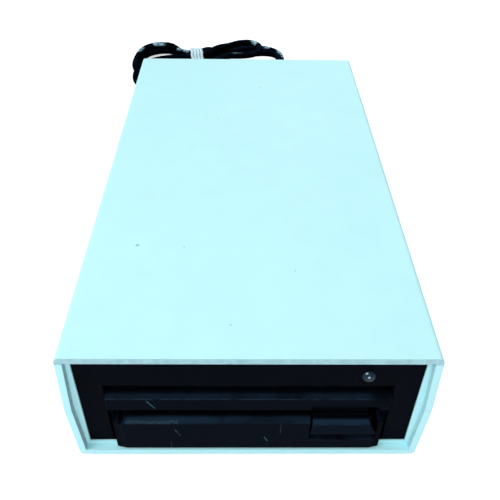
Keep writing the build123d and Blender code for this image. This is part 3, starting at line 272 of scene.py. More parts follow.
def useGroup(tree, group, **values):
    node = tree.nodes.new("ShaderNodeGroup")
    node.node_tree = group
    for name, value in values.items():
        node.inputs[name].default_value = value
    return node


def startMaterial(name):
    material = bpy.data.materials.new(name)
    material.use_nodes = True
    tree = material.node_tree
    return material, tree, tree.nodes["Principled BSDF"]


# What a look has unless it says otherwise
plainLook = {
    "metal": 0.0,
    "specular": 0.5,
    "mottle": 0.05,
    "bump": 0.35,
    "depth": 0.03 * mm,
    "edge": 0.3 * mm,
    "wear": 0.3,
    "scratchTurn": 0.6,
    "speckScale": 70.0,
    "dustAndSheen": 0.1,
    "dustAndSheenColour": (0.32, 0.34, 0.35),
    "dustAndSheenScale": 90.0,
    "dustAndSheenLow": 0.42,
    "dustAndSheenHigh": 0.72,
    "marks": [],
}


def dress(name, look, pattern=None):
    # a material from one look: base colour with mottle, rubbed edges, scratches, specks, dust and painted
    # sheen, and marks, some of them painted light and shade
    look = {**plainLook, "wornColour": look["colour"], **look}
    material, tree, shader = startMaterial(name)
    if "brush" in look:
        grain = useGroup(tree, brushedLines, Scale=look["brush"])
    else:
        grain = useGroup(tree, mouldedGrain, Scale=look["grain"], Mottle=look["mottle"])
    edges = useGroup(tree, edgeWear, Radius=look["edge"])
    dustAndSheen = useGroup(tree, settledDustAndSheen, Scale=look["dustAndSheenScale"], Low=look["dustAndSheenLow"], High=look["dustAndSheenHigh"])
    colour = look["colour"] if pattern is None else pattern(tree)
    colour = blended(tree, 1.0, colour, grain.outputs["Shade"], "MULTIPLY")
    rubbed = maths(tree, "MULTIPLY", edges.outputs["Mask"], look["wear"])
    colour = blended(tree, rubbed, colour, look["wornColour"])
    uneven = maths(tree, "MULTIPLY", grain.outputs["Height"], effects["grainRoughness"])
    roughness = maths(tree, "ADD", look["roughness"], uneven)
    if "scratch" in look:
        hairs = useGroup(tree, hairScratches, Turn=look["scratchTurn"]).outputs["Mask"]
        hairs = maths(tree, "MULTIPLY", hairs, look["scratch"])
        colour = blended(tree, hairs, colour, look["scratchColour"])
        roughened = maths(tree, "MULTIPLY", hairs, effects["scratchRoughness"])
        roughness = maths(tree, "ADD", roughness, roughened)
    if "speck" in look:
        specks = useGroup(tree, looseSpecks, Scale=look["speckScale"], Share=look["speck"])
        colour = blended(tree, specks.outputs["Mask"], colour, look["speckColour"])
    film = maths(tree, "MULTIPLY", dustAndSheen.outputs["Mask"], look["dustAndSheen"])
    colour = blended(tree, film, colour, look["dustAndSheenColour"])
    for marks in look["marks"]:
        drawn = maths(tree, "MULTIPLY", strokeMask(tree, marks["strokes"], marks["width"]), marks["share"])
        if "breakUp" in marks:
            broken = noise(tree, place(tree), marks["breakUp"], effects["breakDetail"])
            drawn = maths(tree, "MULTIPLY", drawn, mapped(tree, broken, *effects["breakUp"]))
        colour = blended(tree, drawn, colour, marks["colour"])
    dusty = maths(tree, "MULTIPLY", film, effects["dustRoughness"])
    roughness = maths(tree, "ADD", roughness, dusty, clamp=True)
    bump = addNode(
        tree,
        "ShaderNodeBump",
        {
            "Strength": look["bump"],
            "Distance": look["depth"],
            "Height": grain.outputs["Height"],
            "Normal": edges.outputs["Normal"],
        },
    )
    tree.links.new(colour, shader.inputs["Base Color"])
    tree.links.new(roughness, shader.inputs["Roughness"])
    tree.links.new(bump.outputs["Normal"], shader.inputs["Normal"])
    shader.inputs["Metallic"].default_value = look["metal"]
    shader.inputs["Specular IOR Level"].default_value = look["specular"]
    return material


def wearMaterial(material, *names):
    for name in names:
        nodes[name].material_slots[0].material = material


# Case shells: pale icy plastic with a fine spark grain, small scuffs on top and painted shade on the rims
caseTop = 57.7
caseScuffs = [
    ((-15.2, 42.9), (-14.8, 42.6)),
    ((7.4, 78.3), (7.4, 79.0)),
    ((-25.3, -61.5), (-25.0, -61.5)),
    ((17.3, -75.2), (17.6, -74.9)),
    ((-6.6, -102.6), (-6.2, -102.6)),
]
scuffs = dict(
    strokes=[[(*start, caseTop), (*end, caseTop)] for start, end in caseScuffs],
    width=0.5, share=0.5, colour=(0.3, 0.5, 0.53),
)
caseLook = {
    "colour": (0.57, 0.94, 0.98),
    "specular": 0.2,
    "roughness": 0.5,
    "grain": 2600.0,
    "mottle": 0.03,
    "bump": 0.25,
    "depth": 0.04 * mm,
    "edge": 0.5 * mm,
    "wear": 0.35,
    "wornColour": (0.66, 0.94, 0.96),
    "speck": 0.05,
    "speckScale": 45.0,
    "speckColour": (0.22, 0.36, 0.38),
    "dustAndSheen": 0.05,
    "dustAndSheenColour": (0.42, 0.55, 0.56),
    "marks": [scuffs],
    "rimFront": -117.5,
    "rimDepth": 3.0,
    "rimTop": 55.0,
    "rimBand": 0.6,
    "faceAhead": -0.8,
    "faceInwards": 0.02,
    # painted shade on the rim's top band and on the recess walls
    "shadeBlotchScale": 600.0,
    "shadeBlotchDetail": 4.0,
    "shadePatches": (0.3, 0.65, 0.6, 1.0),
    "paintedShadeColour": (0.24, 0.34, 0.40),
    "topBandShade": 0.6,
    "leftWallShade": 0.9,
    "rightWallShade": 0.45,
}


def caseWithPaintedShade(tree):
    # painted shade, grey, on the rim's top band and on the recess walls, more on the left wall than the
    # right, broken up by fine noise
    where = axes(tree, place(tree))
    faces = axes(tree, faceNormal(tree))
    blotches = noise(tree, place(tree), caseLook["shadeBlotchScale"], caseLook["shadeBlotchDetail"])
    patchy = mapped(tree, blotches, *caseLook["shadePatches"])
    rimBack = (caseLook["rimFront"] + caseLook["rimDepth"]) * mm
    nearRim = maths(tree, "LESS_THAN", where["Y"], rimBack)
    ahead = maths(tree, "LESS_THAN", faces["Y"], caseLook["faceAhead"])
    bandLow = (caseLook["rimTop"] - caseLook["rimBand"]) * mm
    high = mapped(tree, where["Z"], bandLow, caseLook["rimTop"] * mm)
    band = maths(tree, "MULTIPLY", maths(tree, "MULTIPLY", ahead, high), caseLook["topBandShade"])
    towards = maths(tree, "MULTIPLY", maths(tree, "MULTIPLY", faces["X"], where["X"]), -1.0)
    inwards = maths(tree, "GREATER_THAN", towards, caseLook["faceInwards"])
    leftSide = maths(tree, "LESS_THAN", where["X"], 0.0)
    share = mapped(tree, leftSide, 0.0, 1.0, caseLook["rightWallShade"], caseLook["leftWallShade"])
    walls = maths(tree, "MULTIPLY", inwards, share)
    paintedShade = maths(tree, "MULTIPLY", maths(tree, "MAXIMUM", band, walls), nearRim)
    paintedShade = maths(tree, "MULTIPLY", paintedShade, patchy)
    return blended(tree, paintedShade, caseLook["colour"], caseLook["paintedShadeColour"])


wearMaterial(dress("case_plastic_finish", caseLook, caseWithPaintedShade), "upper_shell", "lower_shell")

# Panels at both ends: bluish black plastic
panelLook = {
    "colour": (0.0018, 0.0025, 0.0050),
    "specular": 0.008,
    "roughness": 0.46,
    "grain": 2200.0,
    "mottle": 0.16,
    "bump": 0.45,
    "depth": 0.05 * mm,
    "edge": 0.3 * mm,
    "wear": 0.5,
    "wornColour": (0.02, 0.032, 0.045),
    "speck": 0.12,
    "speckScale": 110.0,
    "speckColour": (0.05, 0.075, 0.09),
    "dustAndSheen": 0.03,
    "scratch": 0.25,
    "scratchColour": (0.045, 0.07, 0.085),
}
wearMaterial(dress("panel_plastic_finish", panelLook), "front_panel", "rear_panel")

# Drive fascia: the same black, a little smoother, with a painted highlight on its ridge, short scratches and
# painted light and shade
shadeColour = (0.0009, 0.0014, 0.0026)
# painted highlight along the ridge where the upper slope meets the face, broken up by noise
ridgeHighlight = dict(
    strokes=[sideways(-50.5, 50.5, -115.1, 32.8)],
    width=0.35, share=0.6, colour=(0.018, 0.042, 0.062), breakUp=420.0,
)
shortScratches = dict(
    strokes=[
        [(-36.0, -115.1, 31.6), (-33.5, -115.1, 27.6)],
        [(-26.8, -117.1, 17.1), (-25.2, -117.1, 13.9)],
        [(5.9, -117.1, 12.5), (7.1, -117.1, 10.1)],
    ],
    width=0.3, share=0.8, colour=(0.06, 0.13, 0.18), breakUp=900.0,
)
# painted highlights on the chin bar's up-facing bevel: all along it, brighter on the left, and a bright
# streak
bevelHighlight = dict(
    strokes=[sideways(-44.5, 22.0, -116.0, 21.7)],
    width=1.6, share=0.3, colour=(0.012, 0.028, 0.05),
)
bevelLeftHighlight = dict(
    strokes=[sideways(-44.5, -12.0, -116.0, 21.7)],
    width=1.8, share=0.45, colour=(0.013, 0.030, 0.053),
)
bevelStreakHighlight = dict(
    strokes=[sideways(-44.0, -26.0, -116.6, 21.4)],
    width=0.9, share=0.75, colour=(0.034, 0.07, 0.092), breakUp=1500.0,
)
# painted shade deep in the slot, on the face over the button and in the upper groove
slotAndGrooveShade = dict(
    strokes=[
        sideways(-45.6, 22.4, -113.0, 22.3),
        sideways(24.0, 46.0, -115.1, 27.4),
        sideways(-50.6, 50.6, -112.6, 35.3),
    ],
    width=2.0, share=0.92, colour=(0.0006, 0.0010, 0.0020),
)
# painted shade: the right end of the upper slope darkens
rightEndShade = dict(
    strokes=[sideways(47.0, 53.0, -113.8, 33.8)],
    width=5.5, share=0.7, colour=shadeColour,
)
# painted shade on both ends of the chin bar
chinEndShade = dict(
    strokes=[
        [(-49.6, -116.6, 5.0), (-49.6, -116.6, 22.4)],
        [(-49.4, -116.6, 22.6), (-48.6, -112.5, 22.8)],
        [(48.4, -116.8, 5.0), (48.4, -116.8, 22.4)],
        [(48.8, -116.0, 22.6), (48.8, -112.5, 23.4)],
    ],
    width=2.5, share=0.85, colour=shadeColour,
)
fasciaLook = {
    "colour": (0.0030, 0.0046, 0.0090),
    "specular": 0.004,
    "roughness": 0.36,
    "grain": 3000.0,
    "mottle": 0.14,
    "bump": 0.35,
    "depth": 0.03 * mm,
    "edge": 0.35 * mm,
    # the rubbed edges are lighter: wear, and painted highlight along the edges
    "wear": 0.75,
    "wornColour": (0.03, 0.05, 0.068),
    "marks": [
        ridgeHighlight, shortScratches, bevelHighlight, bevelLeftHighlight, bevelStreakHighlight, slotAndGrooveShade, rightEndShade, chinEndShade,
    ],
    "speck": 0.14,
    "speckScale": 120.0,
    "speckColour": (0.06, 0.09, 0.11),
    # a bluish film on the faces that look up: dust, and painted light on the up-facing bevels
    "dustAndSheen": 0.55,
    "dustAndSheenColour": (0.014, 0.027, 0.050),
    "dustAndSheenLow": 0.35,
    "dustAndSheenHigh": 0.55,
    "scratch": 0.45,
    "scratchColour": (0.06, 0.09, 0.11),
}
wearMaterial(dress("fascia_plastic_finish", fasciaLook), "drive_fascia")

# Dust flap: the fascia's black, duller
flapLook = dict(fasciaLook, colour=(0.003, 0.0045, 0.007), roughness=0.5, scratch=0.15)
wearMaterial(dress("flap_plastic_finish", flapLook), "dust_flap")

# Eject button: shade along its top and light on its bevel
buttonShade = dict(
    strokes=[sideways(22.5, 44.5, -114.5, 22.2)],
    width=1.9, share=0.93, colour=(0.0008, 0.0013, 0.0024),
)
buttonBevel = dict(
    strokes=[sideways(24.0, 45.0, -116.4, 21.2)],
    width=1.3, share=0.7, colour=(0.013, 0.031, 0.058),
)
buttonLook = dict(
    fasciaLook,
    colour=(0.0040, 0.0068, 0.0125),
    roughness=0.3,
    edge=0.45 * mm,
    wear=0.9,
    scratchTurn=1.4,
    marks=[buttonShade, buttonBevel],
)
wearMaterial(dress("button_plastic_finish", buttonLook), "eject_button")

# Strain relief, plug body and feet: dark rubber and plastic
reliefLook = {
    "specular": 0.2,
    "colour": (0.0055, 0.007, 0.01),
    "roughness": 0.5,
    "grain": 1800.0,
    "mottle": 0.12,
    "edge": 0.3 * mm,
    "wear": 0.4,
    "wornColour": (0.025, 0.032, 0.04),
    "dustAndSheen": 0.1,
}
wearMaterial(dress("relief_rubber_finish", reliefLook), "strain_relief")

plugLook = dict(reliefLook, colour=(0.006, 0.0075, 0.01), roughness=0.4, grain=2600.0)
wearMaterial(dress("plug_plastic_finish", plugLook), "plug_body")

footLook = dict(reliefLook, colour=(0.012, 0.012, 0.013), roughness=0.75, dustAndSheen=0.3)
wearMaterial(dress("foot_rubber_finish", footLook), "rubber_feet")

# Metals: the screws first, then sheet steel, castings, polished steel, brass and nickel
screwLook = {
    "colour": (0.56, 0.55, 0.52),
    "metal": 1.0,
    "roughness": 0.28,
    "grain": 2400.0,
    "mottle": 0.2,
    "edge": 0.12 * mm,
    "wear": 0.5,
    "wornColour": (0.72, 0.71, 0.68),
    "dustAndSheen": 0.12,
}
wearMaterial(
    dress("screw_zinc_finish", screwLook),
    "case_screws", "cover_screws", "drive_screws", "board_screws",
)

sheetLook = {
    "colour": (0.58, 0.58, 0.56),
    "metal": 1.0,
    "roughness": 0.32,
    "brush": 620.0,
    "bump": 0.25,
    "edge": 0.15 * mm,
    "wear": 0.6,
    "wornColour": (0.74, 0.74, 0.72),
    "scratch": 0.3,
    "scratchColour": (0.7, 0.7, 0.69),
    "dustAndSheen": 0.1,
}
wearMaterial(dress("sheet_steel_finish", sheetLook), "top_cover")
# slide plate and disk holder: the sheet steel coloured near black
darkSteelLook = dict(
    sheetLook,
    colour=(0.02, 0.02, 0.022),
    metal=0.6,
    roughness=0.5,
    specular=0.1,
    dustAndSheen=0.03,
    wornColour=(0.06, 0.06, 0.06),
    scratchColour=(0.08, 0.08, 0.08),
)
wearMaterial(dress("dark_steel_finish", darkSteelLook), "slide_plate", "disk_holder")

# Chassis: cast metal, in deep shade behind the button's opening
openingShade = dict(
    strokes=[sideways(16.0, 52.0, -108.0, 14.5)],
    width=6.0, share=0.97, colour=(0.004, 0.005, 0.006),
)
castLook = dict(
    screwLook,
    colour=(0.42, 0.43, 0.44),
    roughness=0.5,
    grain=1100.0,
    bump=0.6,
    depth=0.06 * mm,
    edge=0.3 * mm,
    marks=[openingShade],
)
wearMaterial(dress("cast_chassis_finish", castLook), "drive_chassis")

polishedLook = dict(screwLook, colour=(0.66, 0.66, 0.66), roughness=0.14, grain=3000.0, bump=0.1, dustAndSheen=0.03)
wearMaterial(
    dress("polished_steel_finish", polishedLook),
    "guide_rods", "lead_screw", "arm_pin", "holder_pins", "spindle_hub", "spindle_rotor", "eject_springs",
)

motorLook = dict(screwLook, colour=(0.5, 0.49, 0.46), roughness=0.36, grain=1500.0)
wearMaterial(dress("motor_metal_finish", motorLook), "stepper_motor")

brassLook = dict(screwLook, colour=(0.72, 0.53, 0.25), roughness=0.3, wornColour=(0.85, 0.68, 0.4))
wearMaterial(dress("bearing_brass_finish", brassLook), "screw_bearing")

nickelLook = dict(screwLook, colour=(0.62, 0.6, 0.56), roughness=0.2, grain=2800.0, dustAndSheen=0.06)
wearMaterial(dress("plug_nickel_finish", nickelLook), "plug_shell", "plug_pins")

# Mouldings inside the drive
carriageLook = {
    "colour": (0.025, 0.025, 0.027),
    "roughness": 0.4,
    "grain": 2000.0,
    "mottle": 0.12,
    "edge": 0.2 * mm,
    "wear": 0.3,
    "wornColour": (0.07, 0.07, 0.075),
    "dustAndSheen": 0.08,
}
wearMaterial(
    dress("carriage_plastic_finish", carriageLook),
    "head_carriage", "upper_arm", "track_sensor", "lamp_clip",
)

ceramicLook = dict(
    carriageLook, colour=(0.62, 0.6, 0.54), roughness=0.22, wornColour=(0.7, 0.68, 0.62), dustAndSheen=0.02
)
wearMaterial(dress("head_ceramic_finish", ceramicLook), "lower_head", "upper_head")

whiteMouldLook = dict(carriageLook, colour=(0.68, 0.66, 0.58), wornColour=(0.78, 0.76, 0.7), mottle=0.05)
wearMaterial(dress("power_plastic_finish", whiteMouldLook), "power_connector", "cable_plugs")

darkMouldLook = dict(carriageLook, colour=(0.018, 0.018, 0.02))
wearMaterial(dress("connector_plastic_finish", darkMouldLook), "data_connector", "board_headers")


# Circuit boards: green lacquer over tracks that run along X and Y, with a grid of through holes
boardLook = {
    "colour": (0.012, 0.11, 0.045),
    "trackColour": (0.03, 0.2, 0.08),
    "holeColour": (0.55, 0.5, 0.36),
    "roughness": 0.3,
    "grain": 1200.0,
    "mottle": 0.08,
    "edge": 0.1 * mm,
    "wear": 0.2,
    "wornColour": (0.2, 0.24, 0.12),
    "dustAndSheen": 0.12,
    "zoneScale": 70.0,
    "trackScale": 420.0,
    "trackStretch": 0.05,
    "track": (0.05, 0.03),
    "holeScale": 394.0,
    "holeShare": 0.25,
    "hole": (0.3, 0.24),
}


def boardPattern(tree):
    # a track lies where stretched noise is near its middle value, along X in some zones, along Y in others
    middle = 0.5
    zone = noise(tree, place(tree), boardLook["zoneScale"], 0.0)
    thin = boardLook["trackStretch"]
    rows = []
    for stretch in ((thin, 1.0, 1.0), (1.0, thin, 1.0)):
        track = noise(tree, place(tree, stretch=stretch), boardLook["trackScale"], 0.0)
        offMiddle = maths(tree, "ABSOLUTE", maths(tree, "SUBTRACT", track, middle))
        rows.append(mapped(tree, offMiddle, *boardLook["track"]))
    across = maths(tree, "MULTIPLY", rows[0], maths(tree, "LESS_THAN", zone, middle))
    lengthways = maths(tree, "MULTIPLY", rows[1], maths(tree, "GREATER_THAN", zone, middle))
    tracks = maths(tree, "ADD", across, lengthways, clamp=True)
    colour = blended(tree, tracks, boardLook["colour"], boardLook["trackColour"])
    grid = addNode(
        tree,
        "ShaderNodeTexVoronoi",
        {"Vector": place(tree), "Scale": boardLook["holeScale"], "Randomness": 0.0},
        voronoi_dimensions="2D",
    )
    draw = addNode(tree, "ShaderNodeSeparateColor", {0: grid.outputs["Color"]}).outputs[0]
    picked = maths(tree, "LESS_THAN", draw, boardLook["holeShare"])
    holes = maths(tree, "MULTIPLY", picked, mapped(tree, grid.outputs["Distance"], *boardLook["hole"]))
    return blended(tree, holes, colour, boardLook["holeColour"])


wearMaterial(
    dress("board_green_finish", boardLook, boardPattern),
    "interface_board", "logic_board", "motor_base",
)

chipLook = dict(carriageLook, colour=(0.014, 0.014, 0.016), roughness=0.48, grain=3200.0)
wearMaterial(dress("chip_epoxy_finish", chipLook), "interface_chips", "logic_chips")

capacitorLook = dict(
    carriageLook,
    colour=(0.02, 0.035, 0.13),
    topColour=(0.6, 0.6, 0.6),
    topFacing=0.9,
    wornColour=(0.1, 0.12, 0.2),
    roughness=0.3,
)


def capacitorPattern(tree):
    # the tin's bare top shows inside the shrunk sleeve
    top = maths(tree, "GREATER_THAN", axes(tree, faceNormal(tree))["Z"], capacitorLook["topFacing"])
    return blended(tree, top, capacitorLook["colour"], capacitorLook["topColour"])


wearMaterial(dress("capacitor_sleeve_finish", capacitorLook, capacitorPattern), "interface_capacitors")

ribbonLook = {
    "colour": (0.42, 0.43, 0.45),
    "grooveShadeColour": (0.2, 0.21, 0.23),
    "roughness": 0.4,
    "grain": 1500.0,
    "wirePitch": 1.27 * mm,
    "groove": (0.3, 0.1),
    "edge": 0.1 * mm,
    "dustAndSheen": 0.08,
}


def ribbonPattern(tree):
    # painted shade in one groove between each wire and the next, across X
    x = axes(tree, place(tree))["X"]
    wave = maths(tree, "SINE", maths(tree, "MULTIPLY", x, pi / ribbonLook["wirePitch"]))
    groove = mapped(tree, maths(tree, "ABSOLUTE", wave), *ribbonLook["groove"])
    return blended(tree, groove, ribbonLook["colour"], ribbonLook["grooveShadeColour"])


wearMaterial(dress("ribbon_plastic_finish", ribbonLook, ribbonPattern), "ribbon_cable", "power_cable")
print("materials on the solids")


# Lamp lens: dark blue plastic, unlit, with two small glints
lensLook = {
    "colour": (0.013, 0.034, 0.055),
    "rimColour": (0.008, 0.018, 0.03),
    "glintColour": (0.5, 0.62, 0.68),
    "centre": (40.8, -116.0, 46.0),
    "radius": 2.5,
    "glints": [
        [(39.6, -115.0, 47.2), (39.9, -115.0, 47.3)],
        [(40.4, -115.97, 46.2), (40.6, -115.97, 46.3)],
    ],
    "glintWidth": 0.42,
    "grain": 1500.0,
    "mottle": 0.3,
    "roughness": 0.3,
    "specular": 0.12,
}
lensMaterial, lensTree, lensShader = startMaterial("lamp_lens_finish")
lensGrain = useGroup(lensTree, mouldedGrain, Scale=lensLook["grain"], Mottle=lensLook["mottle"])
lensMiddle = [[lensLook["centre"], lensLook["centre"]]]
lensCentre = strokeMask(lensTree, lensMiddle, lensLook["radius"])
lensColour = blended(lensTree, lensCentre, lensLook["rimColour"], lensLook["colour"])
lensGlints = strokeMask(lensTree, lensLook["glints"], lensLook["glintWidth"])
lensColour = blended(lensTree, lensGlints, lensColour, lensLook["glintColour"])
lensColour = blended(lensTree, 1.0, lensColour, lensGrain.outputs["Shade"], "MULTIPLY")
lensTree.links.new(lensColour, lensShader.inputs["Base Color"])
lensShader.inputs["Roughness"].default_value = lensLook["roughness"]
lensShader.inputs["Specular IOR Level"].default_value = lensLook["specular"]
wearMaterial(lensMaterial, "lamp_lens")

# Data cord: one smooth curve from the strain relief, through the tied hank, to the plug. Points in mm.
cordLook = {
    "specular": 0.0,
    "diameter": 5.0,
    "length": 1013.0,
    "pathSteps": 10,
    "roundSteps": 6,
    "colour": (0.001, 0.0014, 0.0026),
    "roughness": 0.3,
    "grain": 1600.0,
    "mottle": 0.1,
    "bump": 0.3,
    "edge": 0.05 * mm,
    "wear": 0.0,
    # a bluish film on the faces that look up: painted sheen on the strands
    "dustAndSheen": 0.5,
    "dustAndSheenColour": (0.008, 0.021, 0.042),
    "dustAndSheenScale": 60.0,
    "dustAndSheenLow": 0.4,
    "dustAndSheenHigh": 0.62,
    "marks": [
        # painted highlights on the strands' upper sides, broken up by noise
        dict(
            strokes=[
                [(-75.5, 257.8, 10.8), (-68, 258.6, 10.8)],
                [(-54.5, 244, 12.3), (-47, 239, 12.7)],
                [(5.8, 249.5, 17.2), (8.2, 245, 17.2)],
                [(12, 270.5, 4.6), (20, 267, 4.6)],
                [(28.2, 259, 4.6), (30.3, 247, 4.6)],
                [(-87.8, 241, 10.4), (-85, 249, 10.4)],
            ],
            width=2.5, share=0.9, colour=(0.4, 0.7, 0.84), breakUp=420.0,
        ),
        # fainter painted sheen on two more strands
        dict(
            strokes=[[(-9, 225.8, 16.8), (-4, 226, 16.8)], [(-19, 241.5, 17), (-14, 244, 17)]],
            width=2.4, share=0.35, colour=(0.2, 0.4, 0.52), breakUp=420.0,
        ),
    ],
}
leadRoute = [
    (-34, 138.75, 20), (-34, 153.75, 20), (-39, 167.75, 6.6), (-56, 181.75, 2.6),
    (-74, 188, 2.6), (-86.5, 205, 2.6), (-86.5, 226, 2.6),
]
firstLoop = [
    (-86.5, 239.5, 2.6), (-83.3, 255.2, 2.6), (-73, 262.8, 2.6), (-60, 261.3, 3),
    (-55.3, 247, 4), (-47, 241, 4.9), (-38.5, 240.8, 4.95), (-31, 243, 4.9),
    (-25, 250.5, 3.7), (-16.5, 260, 2.6), (-6, 268, 2.6), (12, 271.5, 2.6),
    (28, 262, 2.6), (30.5, 245, 2.6), (29, 222, 2.6), (19, 206, 2.6), (0, 202, 2.6),
    (-14, 203, 2.6), (-19.2, 214.5, 3.6), (-25.5, 226.9, 4.4), (-38.5, 228.4, 4.95),
    (-48, 227.9, 4.95), (-54, 219.5, 5.6), (-50.8, 208, 7.4), (-57, 199, 8.4),
    (-68, 199.5, 8.6), (-81, 204, 8.6), (-87.5, 217, 8.6),
]
secondLoop = [
    (-87.5, 235, 8.6), (-85, 251, 8.6), (-76, 260, 8.6), (-63, 260, 8.7),
    (-56.5, 250, 9.3), (-52.5, 241, 10.5), (-43, 238, 10.5), (-37.5, 238.6, 11),
    (-30, 241.6, 13), (-22, 242.2, 9.8), (-13, 240.5, 8.6), (-3, 241.5, 8.6),
    (7, 244, 8.6), (18, 245.5, 8.6), (26.5, 241, 8.6), (27.5, 230, 8.4),
    (20, 222, 6), (6, 221, 3.2), (-8, 221.5, 2.6), (-16.5, 224, 3),
    (-21.5, 232.5, 4.2), (-30, 235, 4.9), (-43, 235, 4.95), (-52.4, 234, 4.1),
    (-57, 226.2, 3.1), (-62.8, 221, 2.7), (-73.6, 220.8, 2.6), (-80, 226.2, 2.7),
]
innerLoop = [
    (-80, 233.7, 3.2), (-74.2, 239.2, 4.3), (-64, 238.4, 6.4), (-51, 231.5, 10.2),
    (-42, 232, 10.6), (-32, 233.5, 11.8), (-23, 239, 15.2), (-13, 243.5, 15),
    (-5, 249.5, 15.2), (5, 250.5, 15.2), (12, 243, 15.2), (10.5, 230, 15),
]
tailRoute = [
    (0, 225, 14.6), (-18, 225.5, 14.6), (-33, 213, 9.1), (-36, 193, 7.6),
    (-31, 170.5, 7.6), (-15, 158, 7.6), (0, 158, 7.6),
]
route = np.array(leadRoute + firstLoop + secondLoop + innerLoop + tailRoute, float) * mm
cordCurve = bpy.data.curves.new("data_cord", "CURVE")
cordCurve.dimensions = "3D"
cordLine = cordCurve.splines.new("NURBS")
cordLine.points.add(len(route) - 1)
cordLine.points.foreach_set("co", np.column_stack([route, np.ones(len(route))]).ravel())
cordLine.order_u = 3
cordLine.use_endpoint_u = True
cordCurve.resolution_u = cordLook["pathSteps"]
cordCurve.bevel_depth = cordLook["diameter"] / 2 * mm
cordCurve.bevel_resolution = cordLook["roundSteps"]
cordCurve.use_fill_caps = True
dataCord = bpy.data.objects.new("data_cord", cordCurve)
scene.collection.objects.link(dataCord)
dataCord.data.materials.append(dress("cord_plastic_finish", cordLook))
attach(dataCord, "case")
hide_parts("cord_lead", "cord_hank", "cord_tail")
print("cord: length", cordLook["length"], "mm")


def meshFromGrid(name, rows):
    # rows is an array (rings, sides, 3); quads join each ring to the next all round, and both ends are closed
    rings, sides, _ = rows.shape
    index = np.arange(rings * sides).reshape(rings, sides)
    following = np.roll(index, -1, axis=1)
    quads = np.stack([index[:-1], following[:-1], following[1:], index[1:]], axis=-1).reshape(-1, 4)
    ends = [index[0, ::-1].tolist(), index[-1].tolist()]
    mesh = bpy.data.meshes.new(name)
    mesh.from_pydata(rows.reshape(-1, 3).tolist(), [], quads.tolist() + ends)
    mesh.update()
    mesh.shade_smooth()
    return mesh


def alongPath(points, step):
    # the same path with evenly spaced points
    run = np.r_[0, np.cumsum(np.linalg.norm(np.diff(points, axis=0), axis=1))]
    at = np.linspace(0, run[-1], int(run[-1] / step) + 2)
    return np.column_stack([np.interp(at, run, points[:, k]) for k in range(3)]), at


def squareDirections(points):
    # two directions square to the path at each point; the first stays as near to X as it can
    tangent = np.gradient(points, axis=0)
    tangent /= np.linalg.norm(tangent, axis=1)[:, None]
    side = np.array([1.0, 0, 0]) - tangent * tangent[:, :1]
    side /= np.linalg.norm(side, axis=1)[:, None]
    return side, np.cross(tangent, side)


# Tie: a twisted string wound round the cord's five strands at the waist. In the y z plane it keeps a
# steady distance from the four outer ones, whose middles are the corners, and over the top it leans along X.
tieLook = {
    "wire": 2.4,
    "gap": 0.05,
    "turns": 4,
    "pitch": 2.5,
    "middle": -38.0,
    "corners": [(241.0, 4.95), (228.4, 4.95), (232.0, 10.5), (238.0, 10.5)],
    "strands": 3,
    "twist": 3.4,
    "lean": (0.0, 0.0, 0.8, 1.3),
    "cornerSteps": 10,
    "pathStep": 0.22,
    "strandSpread": 0.95,
    "strandSides": 8,
    "colour": (0.72, 0.9, 0.96),
    "roughness": 0.7,
    "grain": 5200.0,
    "mottle": 0.06,
    "bump": 0.6,
    "depth": 0.05 * mm,
    "edge": 0.02 * mm,
    "wear": 0.0,
    "dustAndSheen": 0.12,
}
tieReach = cordLook["diameter"] / 2 + tieLook["wire"] / 2 + tieLook["gap"]
tieCorners = np.array(tieLook["corners"])
tieEdges = np.roll(tieCorners, -1, axis=0) - tieCorners
tieEdges /= np.linalg.norm(tieEdges, axis=1)[:, None]
# the outward normal of each edge, as an angle in y z
outAngles = np.arctan2(tieEdges[:, 0], -tieEdges[:, 1])
tiePoints = []
for turn in range(tieLook["turns"]):
    start = tieLook["middle"] - tieLook["pitch"] * (turn - tieLook["turns"] / 2)
    for k, middle in enumerate(tieCorners):
        arrive, leave = outAngles[k - 1], outAngles[k]
        if turn == 0 and k == 0:
            arrive = leave
        sweepRound = np.linspace(arrive, arrive + (leave - arrive) % (-2 * pi), tieLook["cornerSteps"])
        x = np.full(len(sweepRound), start - tieLook["pitch"] * tieLook["lean"][k])
        y = middle[0] + tieReach * np.cos(sweepRound)
        z = middle[1] + tieReach * np.sin(sweepRound)
        tiePoints.append(np.column_stack([x, y, z]))
tiePath, tieRun = alongPath(np.concatenate(tiePoints) * mm, tieLook["pathStep"] * mm)
tieSide, tieOver = squareDirections(tiePath)
strandRadius = tieLook["wire"] / 4 * mm
strandReach = strandRadius * tieLook["strandSpread"]
around = np.linspace(0, 2 * pi, tieLook["strandSides"], endpoint=False)[None, :, None]
tieParts = []
for strand in range(tieLook["strands"]):
    phase = 2 * pi * (tieRun / (tieLook["twist"] * mm) + strand / tieLook["strands"])
    core = tiePath + strandReach * (tieSide * np.cos(phase)[:, None] + tieOver * np.sin(phase)[:, None])
    strandSide, strandOver = squareDirections(core)
    ring = strandSide[:, None] * np.cos(around) + strandOver[:, None] * np.sin(around)
    strandMesh = meshFromGrid(f"tie_strand_{strand}", core[:, None] + strandRadius * ring)
    part = bpy.data.objects.new("tie_string" if strand == 0 else strandMesh.name, strandMesh)
    scene.collection.objects.link(part)
    tieParts.append(part)
tieObject = tieParts[0]
with bpy.context.temp_override(active_object=tieObject, selected_editable_objects=tieParts):
    bpy.ops.object.join()
tieObject.data.materials.clear()
tieObject.data.materials.append(dress("tie_string_finish", tieLook))
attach(tieObject, "case")
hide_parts("cord_tie")
print("tie wound")


